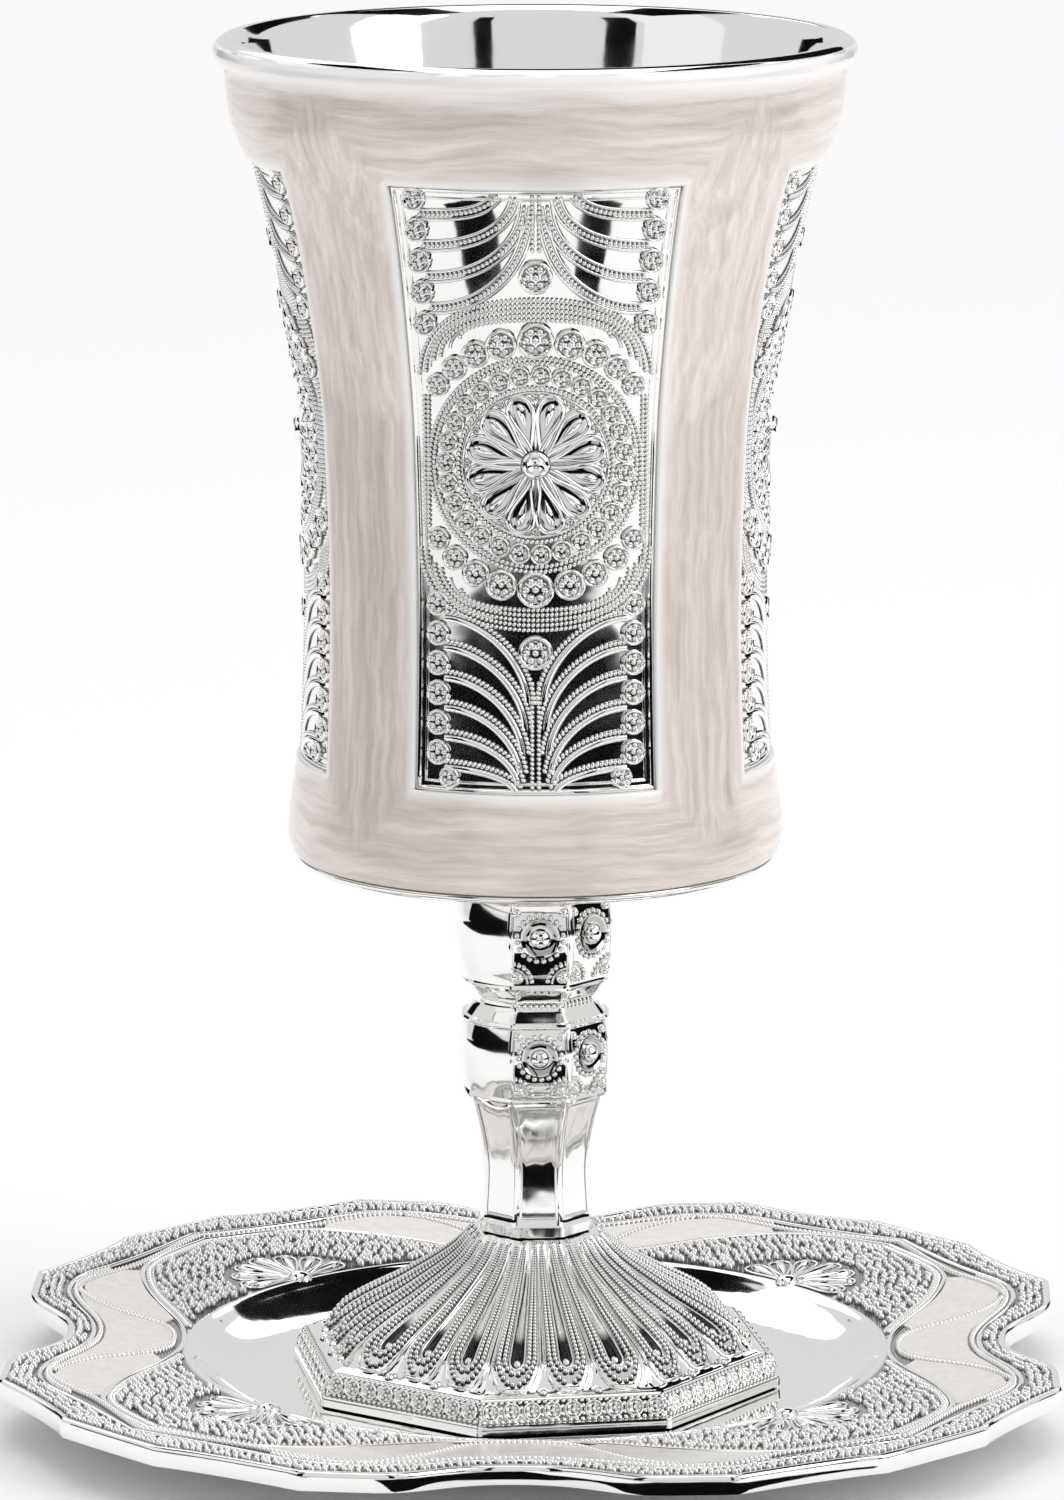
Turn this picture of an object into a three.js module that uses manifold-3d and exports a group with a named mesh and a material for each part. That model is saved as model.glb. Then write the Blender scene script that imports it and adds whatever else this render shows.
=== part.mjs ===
// Kiddush cup with its matching tray. All sizes are in millimetres, +Z is up,
// the front relief panel of the bowl looks along -Y and the tray stands on z = 0.
import * as THREE from 'three';
import { mergeVertices } from 'three/addons/utils/BufferGeometryUtils.js';
import Module from 'manifold-3d';

const wasm = await Module();
wasm.setup();

const DEG = Math.PI / 180;
const SEAT_GAP = 0.1;

// Tray: height stations.
const TRAY_FLOOR_Z = 2.2;
const TRAY_BASE_R = 34;
const TRAY_FLOOR_R = 35.5;
const WELL_EDGE_R = 45.1;
const WELL_EDGE_Z = 6.05;
const RIM_SLOPE = 0.075;
const RIM_THICKNESS = 2.0;
const FLANGE_HEIGHT = 2.6;
const TRAY_TURN = -1.9 * DEG;

// Tray outline in one octant: "out" runs along the notch axis, "side" across it.
const NOTCH_OUT = 61.5;
const LOBE_OUT = 68;
const LOBE_NEAR_SIDE = 18;
const LOBE_FAR_SIDE = 27;
const FACET_OUT = 58;
const FACET_SIDE = 45.5;
const NOTCH_STEPS = 4;
const HOLLOW_STEPS = 3;

// Curves of the enamel cells on the tray rim, in the same octant frame.
const INNER_WIRE_OUT = 46.1;
const INNER_WIRE_END = { out: 54.6, side: 31 };
const ROPE_OUT = 47.4;
const ROPE_END = { out: 61.4, side: 20 };
const OUTER_WIRE_OUT = 58;
const OUTER_WIRE_LOBE = { out: 63, side: 21 };
const CELL_STEPS = 5;
const CELL_MARGIN = 0.75;
const CELL_DEPTH = 0.6;
const CELL_CLEARANCE = 0.15;
const SIDE_CELL_BEARING = 18 * DEG;

// Palmettes on the tray diagonals.
const PALMETTE_HUB_R = 46.6;
const PALMETTE_LENGTH = 10;
const PALMETTE_PETALS = 7;
const PALMETTE_SPREAD = 78 * DEG;
const PALMETTE_RELIEF = 0.7;

// Stem and foot are each turned a little against the bowl.
const STEM_TURN = 3.5 * DEG;
const FOOT_TURN = 9.5 * DEG;
const STEM_SIDES = 8;
const APOTHEM_TO_CORNER = 1 / Math.cos(Math.PI / STEM_SIDES);

// Foot: corner radius and height stations above its underside.
const FOOT_CORNER_R = 32.6;
const PLINTH_TOP_Z = 1.5;
const BORDER_TOP_Z = 4.3;
const BORDER_TOP_R = 30.6;
const TONGUE_END = { r: 28.6, z: 4.9 };
const FLARE_OUTER = { r: 26.6, z: 7.2 };
const FLARE_MIDDLE = { r: 17.4, z: 12.6 };
const FLARE_NECK = { r: 11.2, z: 16.6 };
const FOOT_TOP = { r: 8.3, z: 19.6 };
const TONGUES_PER_FACE = 3;
const TONGUE_RELIEF = 0.55;
const FOOT_WALL = 2.4;

// Stem: apothem and height stations above the underside of the foot.
const FLANGE = { a: 7.3, z: 21.4 };
const SHAFT_FOOT = { a: 6.9, z: 22.0 };
const SHAFT_WAIST = { a: 6.6, z: 27.9 };
const SHAFT_RISE = { a: 7.3, z: 33.4 };
const SHAFT_TOP = { a: 8.3, z: 37.8 };
const LOWER_KNOP = { bottom: 38.4, belly: 43.4, top: 48.3, edge: 8.7, bulge: 9.35 };
const COLLAR_WAIST = { a: 7.35, z: 50.6 };
const UPPER_KNOP = { bottom: 53.8, belly: 59.4, top: 64.4, edge: 8.9, bulge: 9.75 };
const COLLAR_TOP = { a: 8.6, z: 66.2 };
const KNOP_FILLET = 0.45;
const KNOP_BOSS_R = 1.4;
const KNOP_BOSS_RELIEF = 0.95;
const KNOP_RING_R = 2.7;
const KNOP_RING_RELIEF = 0.4;
const KNOP_RING_OUTER_R = 3.2;
const PLAIN_FACES = [2, 3, 6, 7];

// Bowl: outer stations of the enamelled wall above the underside of the foot.
const BOWL_UNDERSIDE_Z = 68.8;
const BOTTOM_EDGE = { r: 31.2, z: 70.0 };
const BULGE = { r: 31.95, z: 72.8 };
const LOWER_TAPER = { r: 30.8, z: 83.5 };
const WAIST = { r: 30.2, z: 104 };
const RISE = { r: 31.0, z: 127 };
const FLARE = { r: 33.0, z: 142.7 };
const SHOULDER = { r: 36.2, z: 158 };
const BAND = { r: 39.1, z: 166.3 };
const LIP_SEAM = { r: 39.6, z: 171.7 };
const ENAMEL_THICKNESS = 0.9;
const WALL = 1.6;
const BOWL_SEGMENTS = 36;
const BASE_RIM_R = 30.9;
const BASE_RIM_Z = 69.5;
const LIP_CENTRE = { r: 39.1, z: 173.6 };
const LIP_HALF_WIDTH = 1.8;
const LIP_HALF_HEIGHT = 1.7;
const LIP_STEPS = 5;
const BOWL_FLOOR_Z = 72.2;
const FLOOR_ROUND = 3.5;

// Relief panels of the bowl: u runs round the wall, v up from the medallion.
const PANELS = 4;
const PANEL_HALF_ANGLE = 30 * DEG;
const PANEL_BOTTOM_Z = 83.0;
const PANEL_TOP_Z = 160.0;
const MEDALLION_Z = 124.9;
const BOSS_R = 1.6;
const BOSS_RELIEF = 1.25;
const PETALS = 12;
const PETAL_SHOULDER_R = 6.6;
const PETAL_OUTER_R = 9.0;
const PETAL_RELIEF = 0.8;
const RING_R = 11.4;
const RING_OUTER_R = 13.4;
const RING_RELIEF = 0.75;
const FIELD_RELIEF = 0.3;
const ROUNDEL_R = 2.1;
const ROUNDEL_RELIEF = 0.8;
const ROUNDEL_RISES = [23.9, -23.8];
const RIB_RELIEF = 0.75;
const RIB_RISE = 9;
const ARC_RISE = 5;
const RIB_COLUMNS = 4;
const UPPER_RIBS = 4;
const UPPER_RIB_END = { u: 15.6, v: 31.6 };
const UPPER_RIB_DROP = 4.0;
const LOWER_RIBS = 6;
const LOWER_RIB_END = { u: 11.6, v: -19.4 };
const LOWER_RIB_DROP = 3.8;
const RELIEF_ROOT = 0.6;

const silver = new THREE.MeshStandardMaterial({ color: 0xdcdcdf, roughness: 0.1, metalness: 1 });
const bowlEnamel = new THREE.MeshStandardMaterial({ color: 0xe4dad5, roughness: 0.22, metalness: 0 });
const trayEnamel = new THREE.MeshStandardMaterial({ color: 0xd6cac4, roughness: 0.22, metalness: 0 });

// Flip a closed geometry whose faces look inwards and weld its seams.
function sealed(source) {
  const bare = source.index ? source.toNonIndexed() : source.clone();
  bare.deleteAttribute('normal');
  bare.deleteAttribute('uv');
  const geometry = mergeVertices(bare, 1e-4);
  const position = geometry.attributes.position;
  const index = geometry.index.array;
  const a = new THREE.Vector3();
  const b = new THREE.Vector3();
  const c = new THREE.Vector3();
  const kept = [];
  let volume = 0;
  for (let i = 0; i < index.length; i += 3) {
    const corners = [index[i], index[i + 1], index[i + 2]];
    if (new Set(corners).size < 3) continue;
    kept.push(...corners);
    a.fromBufferAttribute(position, corners[0]);
    b.fromBufferAttribute(position, corners[1]);
    c.fromBufferAttribute(position, corners[2]);
    volume += a.dot(b.cross(c));
  }
  if (volume < 0) {
    for (let i = 0; i < kept.length; i += 3) {
      [kept[i], kept[i + 1]] = [kept[i + 1], kept[i]];
    }
  }
  geometry.setIndex(kept);
  return geometry;
}

function solid(source) {
  const geometry = sealed(source);
  return new wasm.Manifold(new wasm.Mesh({
    numProp: 3,
    vertProperties: new Float32Array(geometry.attributes.position.array),
    triVerts: new Uint32Array(geometry.index.array),
  }));
}

function joined(sources) {
  return sources.map(solid).reduce((all, next) => all.add(next));
}

function meshFromSolid(name, body, material) {
  const data = body.getMesh();
  const geometry = new THREE.BufferGeometry();
  geometry.setAttribute('position', new THREE.BufferAttribute(new Float32Array(data.vertProperties), 3));
  geometry.setIndex(Array.from(data.triVerts));
  return namedMesh(name, geometry, material);
}

function namedMesh(name, geometry, material) {
  geometry.computeVertexNormals();
  const mesh = new THREE.Mesh(geometry, material);
  mesh.name = name;
  return mesh;
}

// Lathe about +Z from (radius, height) pairs.
function turned(pairs, segments) {
  const points = pairs.map(([r, z]) => new THREE.Vector2(r, z));
  return new THREE.LatheGeometry(points, segments).rotateX(Math.PI / 2);
}

// Cubic through height stations without overshoot.
function stationCurve(stations) {
  const slopes = stations.map((here, i) => {
    const before = stations[Math.max(i - 1, 0)];
    const after = stations[Math.min(i + 1, stations.length - 1)];
    if (before === here || after === here) return (after.r - before.r) / (after.z - before.z);
    const left = (here.r - before.r) / (here.z - before.z);
    const right = (after.r - here.r) / (after.z - here.z);
    return left * right <= 0 ? 0 : (2 * left * right) / (left + right);
  });
  return (z) => {
    let i = 0;
    while (i < stations.length - 2 && z > stations[i + 1].z) i += 1;
    const low = stations[i];
    const high = stations[i + 1];
    const span = high.z - low.z;
    const t = THREE.MathUtils.clamp((z - low.z) / span, 0, 1);
    const s = 1 - t;
    const start = (1 + 2 * t) * s * s * low.r + t * s * s * span * slopes[i];
    return start + t * t * (3 - 2 * t) * high.r - t * t * s * span * slopes[i + 1];
  };
}

const bowlStations = [BOTTOM_EDGE, BULGE, LOWER_TAPER, WAIST, RISE, FLARE, SHOULDER, BAND, LIP_SEAM];
const enamelRadius = stationCurve(bowlStations);
const groundRadius = (z) => enamelRadius(z) - ENAMEL_THICKNESS - SEAT_GAP;
const innerRadius = (z) => groundRadius(z) - WALL;

const wallStations = [BULGE, LOWER_TAPER, WAIST, RISE, FLARE, SHOULDER, BAND];
const wallHeights = wallStations.map((station) => station.z);
wallHeights.splice(4, 0, (RISE.z + FLARE.z) / 2);

// Radius of the faceted ground between two rows of the wall.
function facetRadius(z) {
  const above = wallHeights.findIndex((height) => height >= z);
  const low = wallHeights[above - 1];
  const high = wallHeights[above];
  return THREE.MathUtils.mapLinear(z, low, high, groundRadius(low), groundRadius(high));
}

// Bowl wall: underside, enamel seat, lip bead and the hollow inside.
function bowlBody() {
  const pairs = [[0, BOWL_UNDERSIDE_Z], [BASE_RIM_R - 2, BOWL_UNDERSIDE_Z], [BASE_RIM_R, BASE_RIM_Z]];
  pairs.push([BASE_RIM_R, BOTTOM_EDGE.z], [groundRadius(BOTTOM_EDGE.z), BOTTOM_EDGE.z]);
  wallHeights.forEach((z) => pairs.push([groundRadius(z), z]));
  pairs.push([groundRadius(LIP_SEAM.z), LIP_SEAM.z + SEAT_GAP]);
  for (let i = 0; i <= LIP_STEPS; i += 1) {
    const angle = (-60 + (240 * i) / LIP_STEPS) * DEG;
    const r = LIP_CENTRE.r + LIP_HALF_WIDTH * Math.cos(angle);
    pairs.push([r, LIP_CENTRE.z + LIP_HALF_HEIGHT * Math.sin(angle)]);
  }
  const lining = [BAND, SHOULDER, FLARE, RISE, WAIST, LOWER_TAPER];
  lining.forEach((station) => pairs.push([innerRadius(station.z), station.z]));
  pairs.push([innerRadius(BULGE.z + 2) - 0.6, BOWL_FLOOR_Z + FLOOR_ROUND * 0.55]);
  pairs.push([innerRadius(BULGE.z) - FLOOR_ROUND, BOWL_FLOOR_Z]);
  pairs.push([0, BOWL_FLOOR_Z]);
  return turned(pairs, BOWL_SEGMENTS);
}

// Carry a flat relief (u across, v up, h out of the ground) onto one panel of the wall.
function bend(source, panel) {
  const position = source.attributes.position;
  for (let i = 0; i < position.count; i += 1) {
    const z = MEDALLION_Z + position.getY(i);
    const ground = facetRadius(z);
    const angle = -90 * DEG + panel * 90 * DEG + position.getX(i) / ground;
    const r = ground + position.getZ(i);
    position.setXYZ(i, r * Math.cos(angle), r * Math.sin(angle), z);
  }
  return source;
}

// A stud standing on the ground: a frustum with its root sunk below the surface.
function stud(u, v, radius, relief, sides) {
  const frustum = new THREE.CylinderGeometry(radius * 0.45, radius, relief + RELIEF_ROOT, sides);
  frustum.rotateX(Math.PI / 2);
  return frustum.translate(u, v, (relief - RELIEF_ROOT) / 2);
}

// Rosette of the medallion: boss, petals with valleys between them and the outer ring.
function medallion() {
  const levels = [[0, BOSS_RELIEF], [BOSS_R, FIELD_RELIEF], [PETAL_SHOULDER_R, PETAL_RELIEF]];
  levels.push([PETAL_OUTER_R, FIELD_RELIEF], [RING_R, RING_RELIEF]);
  levels.push([RING_OUTER_R, -RELIEF_ROOT], [0, -RELIEF_ROOT]);
  const rosette = turned(levels, PETALS * 2);
  const position = rosette.attributes.position;
  for (let i = 0; i < position.count; i += 1) {
    const level = i % levels.length;
    const valley = Math.floor(i / levels.length) % 2 === 0;
    if (level === 2 && valley) position.setZ(i, FIELD_RELIEF);
  }
  return rosette;
}

// Field of ribs that sweep from the middle of the panel to both sides; it lies over the ground
// as one plate whose rows are in turn the crests of the ribs and the valleys between them.
function ribField(count, ribAt) {
  const rows = count * 2;
  const plate = new THREE.BoxGeometry(1, 1, 1, RIB_COLUMNS, rows, 1);
  const position = plate.attributes.position;
  const top = PANEL_TOP_Z - MEDALLION_Z - 0.6;
  const bottom = PANEL_BOTTOM_Z - MEDALLION_Z + 0.6;
  for (let i = 0; i < position.count; i += 1) {
    const row = Math.round((position.getY(i) + 0.5) * rows);
    const across = position.getX(i) * 2;
    const rib = ribAt((row - 1) / 2);
    const room = rib.rise > 0 ? (top - rib.v) * 0.9 : (rib.v - bottom) * 0.9;
    const sweep = Math.sign(rib.rise) * Math.min(Math.abs(rib.rise), room) * (1 - Math.abs(across)) ** 2;
    const crest = row % 2 === 1 ? RIB_RELIEF : FIELD_RELIEF;
    position.setXYZ(i, across * rib.u, rib.v + sweep, position.getZ(i) > 0 ? crest : -RELIEF_ROOT);
  }
  return plate;
}

// The rib nearest the medallion is the flatter arc that crowns it; the others sweep higher.
function sweepAt(stepsFromArc) {
  return RIB_RISE - (RIB_RISE - ARC_RISE) * Math.max(0, 1 - stepsFromArc);
}

function upperRib(step) {
  const v = UPPER_RIB_END.v - UPPER_RIB_DROP * (UPPER_RIBS - step);
  return { u: UPPER_RIB_END.u - 0.5 * (UPPER_RIBS + 0.5 - step), v, rise: sweepAt(step) };
}

function lowerRib(step) {
  const v = LOWER_RIB_END.v - LOWER_RIB_DROP * (LOWER_RIBS - 1 - step);
  return { u: LOWER_RIB_END.u, v, rise: -sweepAt(LOWER_RIBS - step) };
}

function panelRelief() {
  const pieces = [medallion(), ribField(UPPER_RIBS + 1, upperRib), ribField(LOWER_RIBS + 1, lowerRib)];
  ROUNDEL_RISES.forEach((v) => pieces.push(stud(0, v, ROUNDEL_R, ROUNDEL_RELIEF, 6)));
  return pieces;
}

function bowl() {
  let body = solid(bowlBody());
  for (let panel = 0; panel < PANELS; panel += 1) {
    panelRelief().forEach((piece) => {
      body = body.add(solid(bend(piece, panel)));
    });
  }
  return meshFromSolid('bowl', body, silver);
}

// Enamel jacket: a ring of even thickness with one window over each relief panel.
function enamelJacket() {
  const heights = [BOTTOM_EDGE.z + SEAT_GAP, ...wallHeights, LIP_SEAM.z];
  const outer = heights.map((z) => [enamelRadius(z), z]);
  const inner = heights.map((z) => [enamelRadius(z) - ENAMEL_THICKNESS, z]).reverse();
  let jacket = solid(turned([...outer, ...inner, outer[0]], BOWL_SEGMENTS));
  const reach = LIP_SEAM.r + 15;
  const wedge = new THREE.Shape([
    new THREE.Vector2(0, 0),
    new THREE.Vector2(reach * Math.sin(PANEL_HALF_ANGLE), -reach * Math.cos(PANEL_HALF_ANGLE)),
    new THREE.Vector2(0, -reach),
    new THREE.Vector2(-reach * Math.sin(PANEL_HALF_ANGLE), -reach * Math.cos(PANEL_HALF_ANGLE)),
  ]);
  for (let panel = 0; panel < PANELS; panel += 1) {
    const depth = PANEL_TOP_Z - PANEL_BOTTOM_Z;
    const cutter = new THREE.ExtrudeGeometry(wedge, { depth, bevelEnabled: false });
    cutter.translate(0, 0, PANEL_BOTTOM_Z).rotateZ(panel * 90 * DEG);
    jacket = jacket.subtract(solid(cutter));
  }
  return meshFromSolid('bowl_enamel', jacket, bowlEnamel);
}

// Octagonal stem with two knops; each carved face carries a ring with a boss inside it.
function stem() {
  const levels = [[FOOT_TOP.z + SEAT_GAP, FLANGE.a], [FLANGE.z, FLANGE.a]];
  [SHAFT_FOOT, SHAFT_WAIST, SHAFT_RISE, SHAFT_TOP].forEach((level) => levels.push([level.z, level.a]));
  [LOWER_KNOP, UPPER_KNOP].forEach((knop) => {
    levels.push([knop.bottom, knop.edge], [knop.belly, knop.bulge], [knop.top, knop.edge]);
    levels.push([knop.top + 0.1, knop.edge - KNOP_FILLET]);
    if (knop === LOWER_KNOP) {
      levels.push([COLLAR_WAIST.z, COLLAR_WAIST.a]);
      levels.push([UPPER_KNOP.bottom - 0.9, UPPER_KNOP.edge - KNOP_FILLET]);
    }
  });
  levels.push([COLLAR_TOP.z, COLLAR_TOP.a], [BOWL_UNDERSIDE_Z - SEAT_GAP, COLLAR_TOP.a]);
  const pairs = levels.map(([z, a]) => [a * APOTHEM_TO_CORNER, z]);
  pairs.unshift([0, levels[0][0]]);
  pairs.push([0, levels[levels.length - 1][0]]);
  const halfSide = Math.PI / STEM_SIDES;
  let body = solid(turned(pairs, STEM_SIDES).rotateZ(halfSide + STEM_TURN));
  [LOWER_KNOP, UPPER_KNOP].forEach((knop) => {
    for (let face = 0; face < STEM_SIDES; face += 1) {
      if (PLAIN_FACES.includes(face)) continue;
      const rosette = turned([[0, KNOP_BOSS_RELIEF], [KNOP_BOSS_R, 0.1], [KNOP_RING_R, KNOP_RING_RELIEF],
        [KNOP_RING_OUTER_R, -RELIEF_ROOT], [0, -RELIEF_ROOT]], 6);
      rosette.rotateX(90 * DEG).translate(0, -knop.bulge, knop.belly + 0.7);
      body = body.add(solid(rosette.rotateZ(face * 45 * DEG + STEM_TURN)));
    }
  });
  return meshFromSolid('stem', body, silver);
}

// Octagonal foot: plinth, border and a flare fluted into tongues, hollow underneath.
function foot() {
  const flare = stationCurve([FOOT_TOP, FLARE_NECK, FLARE_MIDDLE, FLARE_OUTER, TONGUE_END]
    .map((station) => ({ r: station.z, z: station.r })));
  const flareRadii = [TONGUE_END.r, FLARE_OUTER.r, 22.5, FLARE_MIDDLE.r, FLARE_NECK.r];
  const inner = [[0, 14.4], [FLARE_MIDDLE.r - FOOT_WALL, 10.2], [FLARE_OUTER.r - FOOT_WALL, 4.6]];
  inner.push([FLARE_OUTER.r - 0.8, 0]);
  const border = [[FOOT_CORNER_R, 0], [FOOT_CORNER_R, PLINTH_TOP_Z], [FOOT_CORNER_R - 0.7, PLINTH_TOP_Z + 0.2]];
  border.push([BORDER_TOP_R, BORDER_TOP_Z], [BORDER_TOP_R - 0.9, BORDER_TOP_Z + 0.2]);
  const carved = flareRadii.map((r) => [r, flare(r)]);
  const pairs = [...inner, ...border, ...carved, [FOOT_TOP.r, FOOT_TOP.z], [0, FOOT_TOP.z]];
  const firstCarved = inner.length + border.length;
  const lastCarved = firstCarved + carved.length - 1;
  const segments = STEM_SIDES * TONGUES_PER_FACE * 2;
  const geometry = turned(pairs, segments);
  const position = geometry.attributes.position;
  for (let i = 0; i < position.count; i += 1) {
    const level = i % pairs.length;
    const step = Math.floor(i / pairs.length) % segments;
    const angle = (step * 2 * Math.PI) / segments;
    const fromFace = ((step % 6) - 3) * (Math.PI * 2 / segments);
    const octagon = Math.cos(Math.PI / STEM_SIDES) / Math.cos(fromFace);
    let [r, z] = pairs[level];
    if (level >= inner.length) r *= octagon;
    if (level >= firstCarved && level <= lastCarved) {
      const crest = step % 2 === 1;
      const fade = Math.min(1, (r - FOOT_TOP.r) / 9);
      r += crest ? 0.25 : -0.25;
      z += (crest ? TONGUE_RELIEF : -TONGUE_RELIEF * 0.5) * fade;
    }
    position.setXYZ(i, r * Math.cos(angle), r * Math.sin(angle), z);
  }
  geometry.rotateZ(FOOT_TURN - 22.5 * DEG);
  return namedMesh('foot', sealed(geometry), silver);
}

// Points of a cubic curve in the octant frame (x = side, y = out).
function octantCurve(points, steps) {
  const [a, b, c, d] = points.map(([out, side]) => new THREE.Vector2(side, out));
  return new THREE.CubicBezierCurve(a, b, c, d).getPoints(steps);
}

const rimZ = (r) => WELL_EDGE_Z + RIM_SLOPE * (r - WELL_EDGE_R);

// Half of one tray side, from the notch to the middle of the diagonal facet.
function outlineOctant() {
  const notchReach = LOBE_NEAR_SIDE / 2;
  const notch = octantCurve([[NOTCH_OUT, 0], [NOTCH_OUT, notchReach],
    [LOBE_OUT, notchReach + 2], [LOBE_OUT, LOBE_NEAR_SIDE]], NOTCH_STEPS);
  const hollow = octantCurve([[LOBE_OUT, LOBE_FAR_SIDE], [LOBE_OUT - 3, LOBE_FAR_SIDE + 4],
    [FACET_OUT + 1.5, FACET_SIDE - 5.5], [FACET_OUT, FACET_SIDE]], HOLLOW_STEPS);
  return [...notch, ...hollow];
}

function trayOutline() {
  const octant = outlineOctant();
  const mirrored = octant.slice(1).reverse().map((p) => new THREE.Vector2(p.y, p.x));
  const quarter = [...octant, ...mirrored];
  const points = [];
  for (let side = 0; side < 4; side += 1) {
    const turn = new THREE.Vector2();
    quarter.forEach((p) => points.push(p.clone().rotateAround(turn, -side * 90 * DEG)));
  }
  return points.reverse();
}

// Solid of the tray: a turned dish whose rim is drawn out to the scalloped outline.
function trayBody() {
  const outline = trayOutline();
  const wellUnder = WELL_EDGE_Z - RIM_THICKNESS;
  const fixed = [[0, 0], [TRAY_BASE_R, 0], [WELL_EDGE_R - 1.5, wellUnder - 0.8]];
  const flange = [{ inset: 2.2, drop: RIM_THICKNESS }, { inset: 0, drop: FLANGE_HEIGHT }];
  flange.push({ inset: 0, drop: 0.2 }, { inset: 0.5, drop: 0 });
  const well = [[WELL_EDGE_R, WELL_EDGE_Z], [WELL_EDGE_R - 3.2, WELL_EDGE_Z - 2.4]];
  well.push([TRAY_FLOOR_R, TRAY_FLOOR_Z], [0, TRAY_FLOOR_Z]);
  const count = fixed.length + flange.length + well.length;
  const draft = [...fixed, ...flange.map((f) => [LOBE_OUT, 8 - f.drop]), ...well];
  const geometry = turned(draft, outline.length);
  const position = geometry.attributes.position;
  for (let i = 0; i < position.count; i += 1) {
    const level = i % count;
    const edge = outline[Math.floor(i / count) % outline.length];
    const reach = edge.length();
    const lip = flange[level - fixed.length];
    const r = lip ? reach - lip.inset : draft[level][0];
    const z = lip ? rimZ(reach) - lip.drop : draft[level][1];
    position.setXYZ(i, (edge.x / reach) * r, (edge.y / reach) * r, z);
  }
  return solid(geometry);
}

// Curves that bound the enamel cells on one half of a tray side.
function cellCurves() {
  const rope = octantCurve([[ROPE_OUT, 0], [ROPE_OUT - 0.4, 10.5],
    [ROPE_END.out - 3.9, 8], [ROPE_END.out, ROPE_END.side]], CELL_STEPS);
  const inner = octantCurve([[INNER_WIRE_OUT, 0], [INNER_WIRE_OUT, 12],
    [INNER_WIRE_END.out - 1.6, 17], [INNER_WIRE_END.out, INNER_WIRE_END.side]], CELL_STEPS);
  const outer = octantCurve([[OUTER_WIRE_OUT, 0], [OUTER_WIRE_OUT, 9],
    [OUTER_WIRE_LOBE.out, 13], [OUTER_WIRE_LOBE.out, OUTER_WIRE_LOBE.side]], CELL_STEPS);
  return { rope, inner, outer };
}

// Move a run of curve points sideways by a distance measured to its left.
function shifted(points, distance) {
  return points.map((p, i) => {
    const before = points[Math.max(i - 1, 0)];
    const after = points[Math.min(i + 1, points.length - 1)];
    const along = after.clone().sub(before).normalize();
    return new THREE.Vector2(p.x - along.y * distance, p.y + along.x * distance);
  });
}

function centreCell(margin) {
  const { rope, outer } = cellCurves();
  const low = shifted(rope, margin).slice(1, CELL_STEPS);
  const high = shifted(outer, -margin).slice(1, 4).reverse();
  const half = [new THREE.Vector2(0, ROPE_OUT + margin), ...low, ...high];
  const top = new THREE.Vector2(0, OUTER_WIRE_OUT - margin);
  const mirrored = half.slice(1).reverse().map((p) => new THREE.Vector2(-p.x, p.y));
  return [...half, top, ...mirrored];
}

function sideCell(margin, mirror) {
  const { rope, inner } = cellCurves();
  const near = shifted(rope, -margin).slice(2);
  const far = shifted(inner, margin).slice(2).reverse();
  const tip = [new THREE.Vector2(25.8 - margin * 0.4, 60.4 - margin * 0.5)];
  const loop = [...near, ...tip, ...far];
  return mirror < 0 ? loop.map((p) => new THREE.Vector2(-p.x, p.y)).reverse() : loop;
}

// Slab over a cell outline, lying in the plane that touches the sloping rim along the cell.
function rimSlab(cell, low, high, turn) {
  const slab = new THREE.ExtrudeGeometry(new THREE.Shape(cell.loop), { depth: high - low, bevelEnabled: false });
  slab.translate(0, 0, low);
  const position = slab.attributes.position;
  for (let i = 0; i < position.count; i += 1) {
    const reach = position.getX(i) * Math.sin(cell.bearing) + position.getY(i) * Math.cos(cell.bearing);
    position.setZ(i, position.getZ(i) + rimZ(reach));
  }
  return slab.rotateZ(turn);
}

// Draw a closed loop in by a distance, each corner along the bisector of its two sides.
function inset(loop, distance) {
  const inward = THREE.ShapeUtils.isClockWise(loop) ? -1 : 1;
  return loop.map((p, i) => {
    const before = loop[(i + loop.length - 1) % loop.length];
    const after = loop[(i + 1) % loop.length];
    const a = p.clone().sub(before).normalize();
    const b = after.clone().sub(p).normalize();
    const scale = (inward * distance) / (1 + a.dot(b));
    return new THREE.Vector2(p.x - (a.y + b.y) * scale, p.y + (a.x + b.x) * scale);
  });
}

function enamelCells(clearance) {
  const cells = [
    { name: 'centre', bearing: 0, loop: centreCell(CELL_MARGIN) },
    { name: 'right', bearing: SIDE_CELL_BEARING, loop: sideCell(CELL_MARGIN, 1) },
    { name: 'left', bearing: -SIDE_CELL_BEARING, loop: sideCell(CELL_MARGIN, -1) },
  ];
  return cells.map((cell) => ({ ...cell, loop: inset(cell.loop, clearance) }));
}

// Half-palmette: petals fanned outwards from a hub on the edge of the well, with valleys between.
function palmette(turn) {
  const steps = PALMETTE_PETALS * 2 + 1;
  const fan = new THREE.CylinderGeometry(1, 1, 1, steps, 1);
  fan.rotateX(90 * DEG);
  const position = fan.attributes.position;
  for (let i = 0; i < position.count; i += 1) {
    const upper = position.getZ(i) > 0;
    const hub = Math.hypot(position.getX(i), position.getY(i)) < 0.5;
    const step = Math.round((Math.atan2(position.getX(i), -position.getY(i)) / (2 * Math.PI)) * steps);
    const spread = step / PALMETTE_PETALS;
    const petal = Math.abs(step) % 2 === 0;
    const long = (petal ? 1 : 0.8) * PALMETTE_LENGTH * (1 - 0.28 * Math.abs(spread));
    const bearing = spread * PALMETTE_SPREAD;
    const x = hub ? 0 : long * Math.sin(bearing);
    const y = PALMETTE_HUB_R + (hub ? 0 : long * Math.cos(bearing));
    const lift = upper ? (petal || hub ? PALMETTE_RELIEF : 0.15) : -RELIEF_ROOT;
    position.setXYZ(i, x, y, rimZ(Math.hypot(x, y)) + lift);
  }
  return fan.rotateZ(turn);
}

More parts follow.
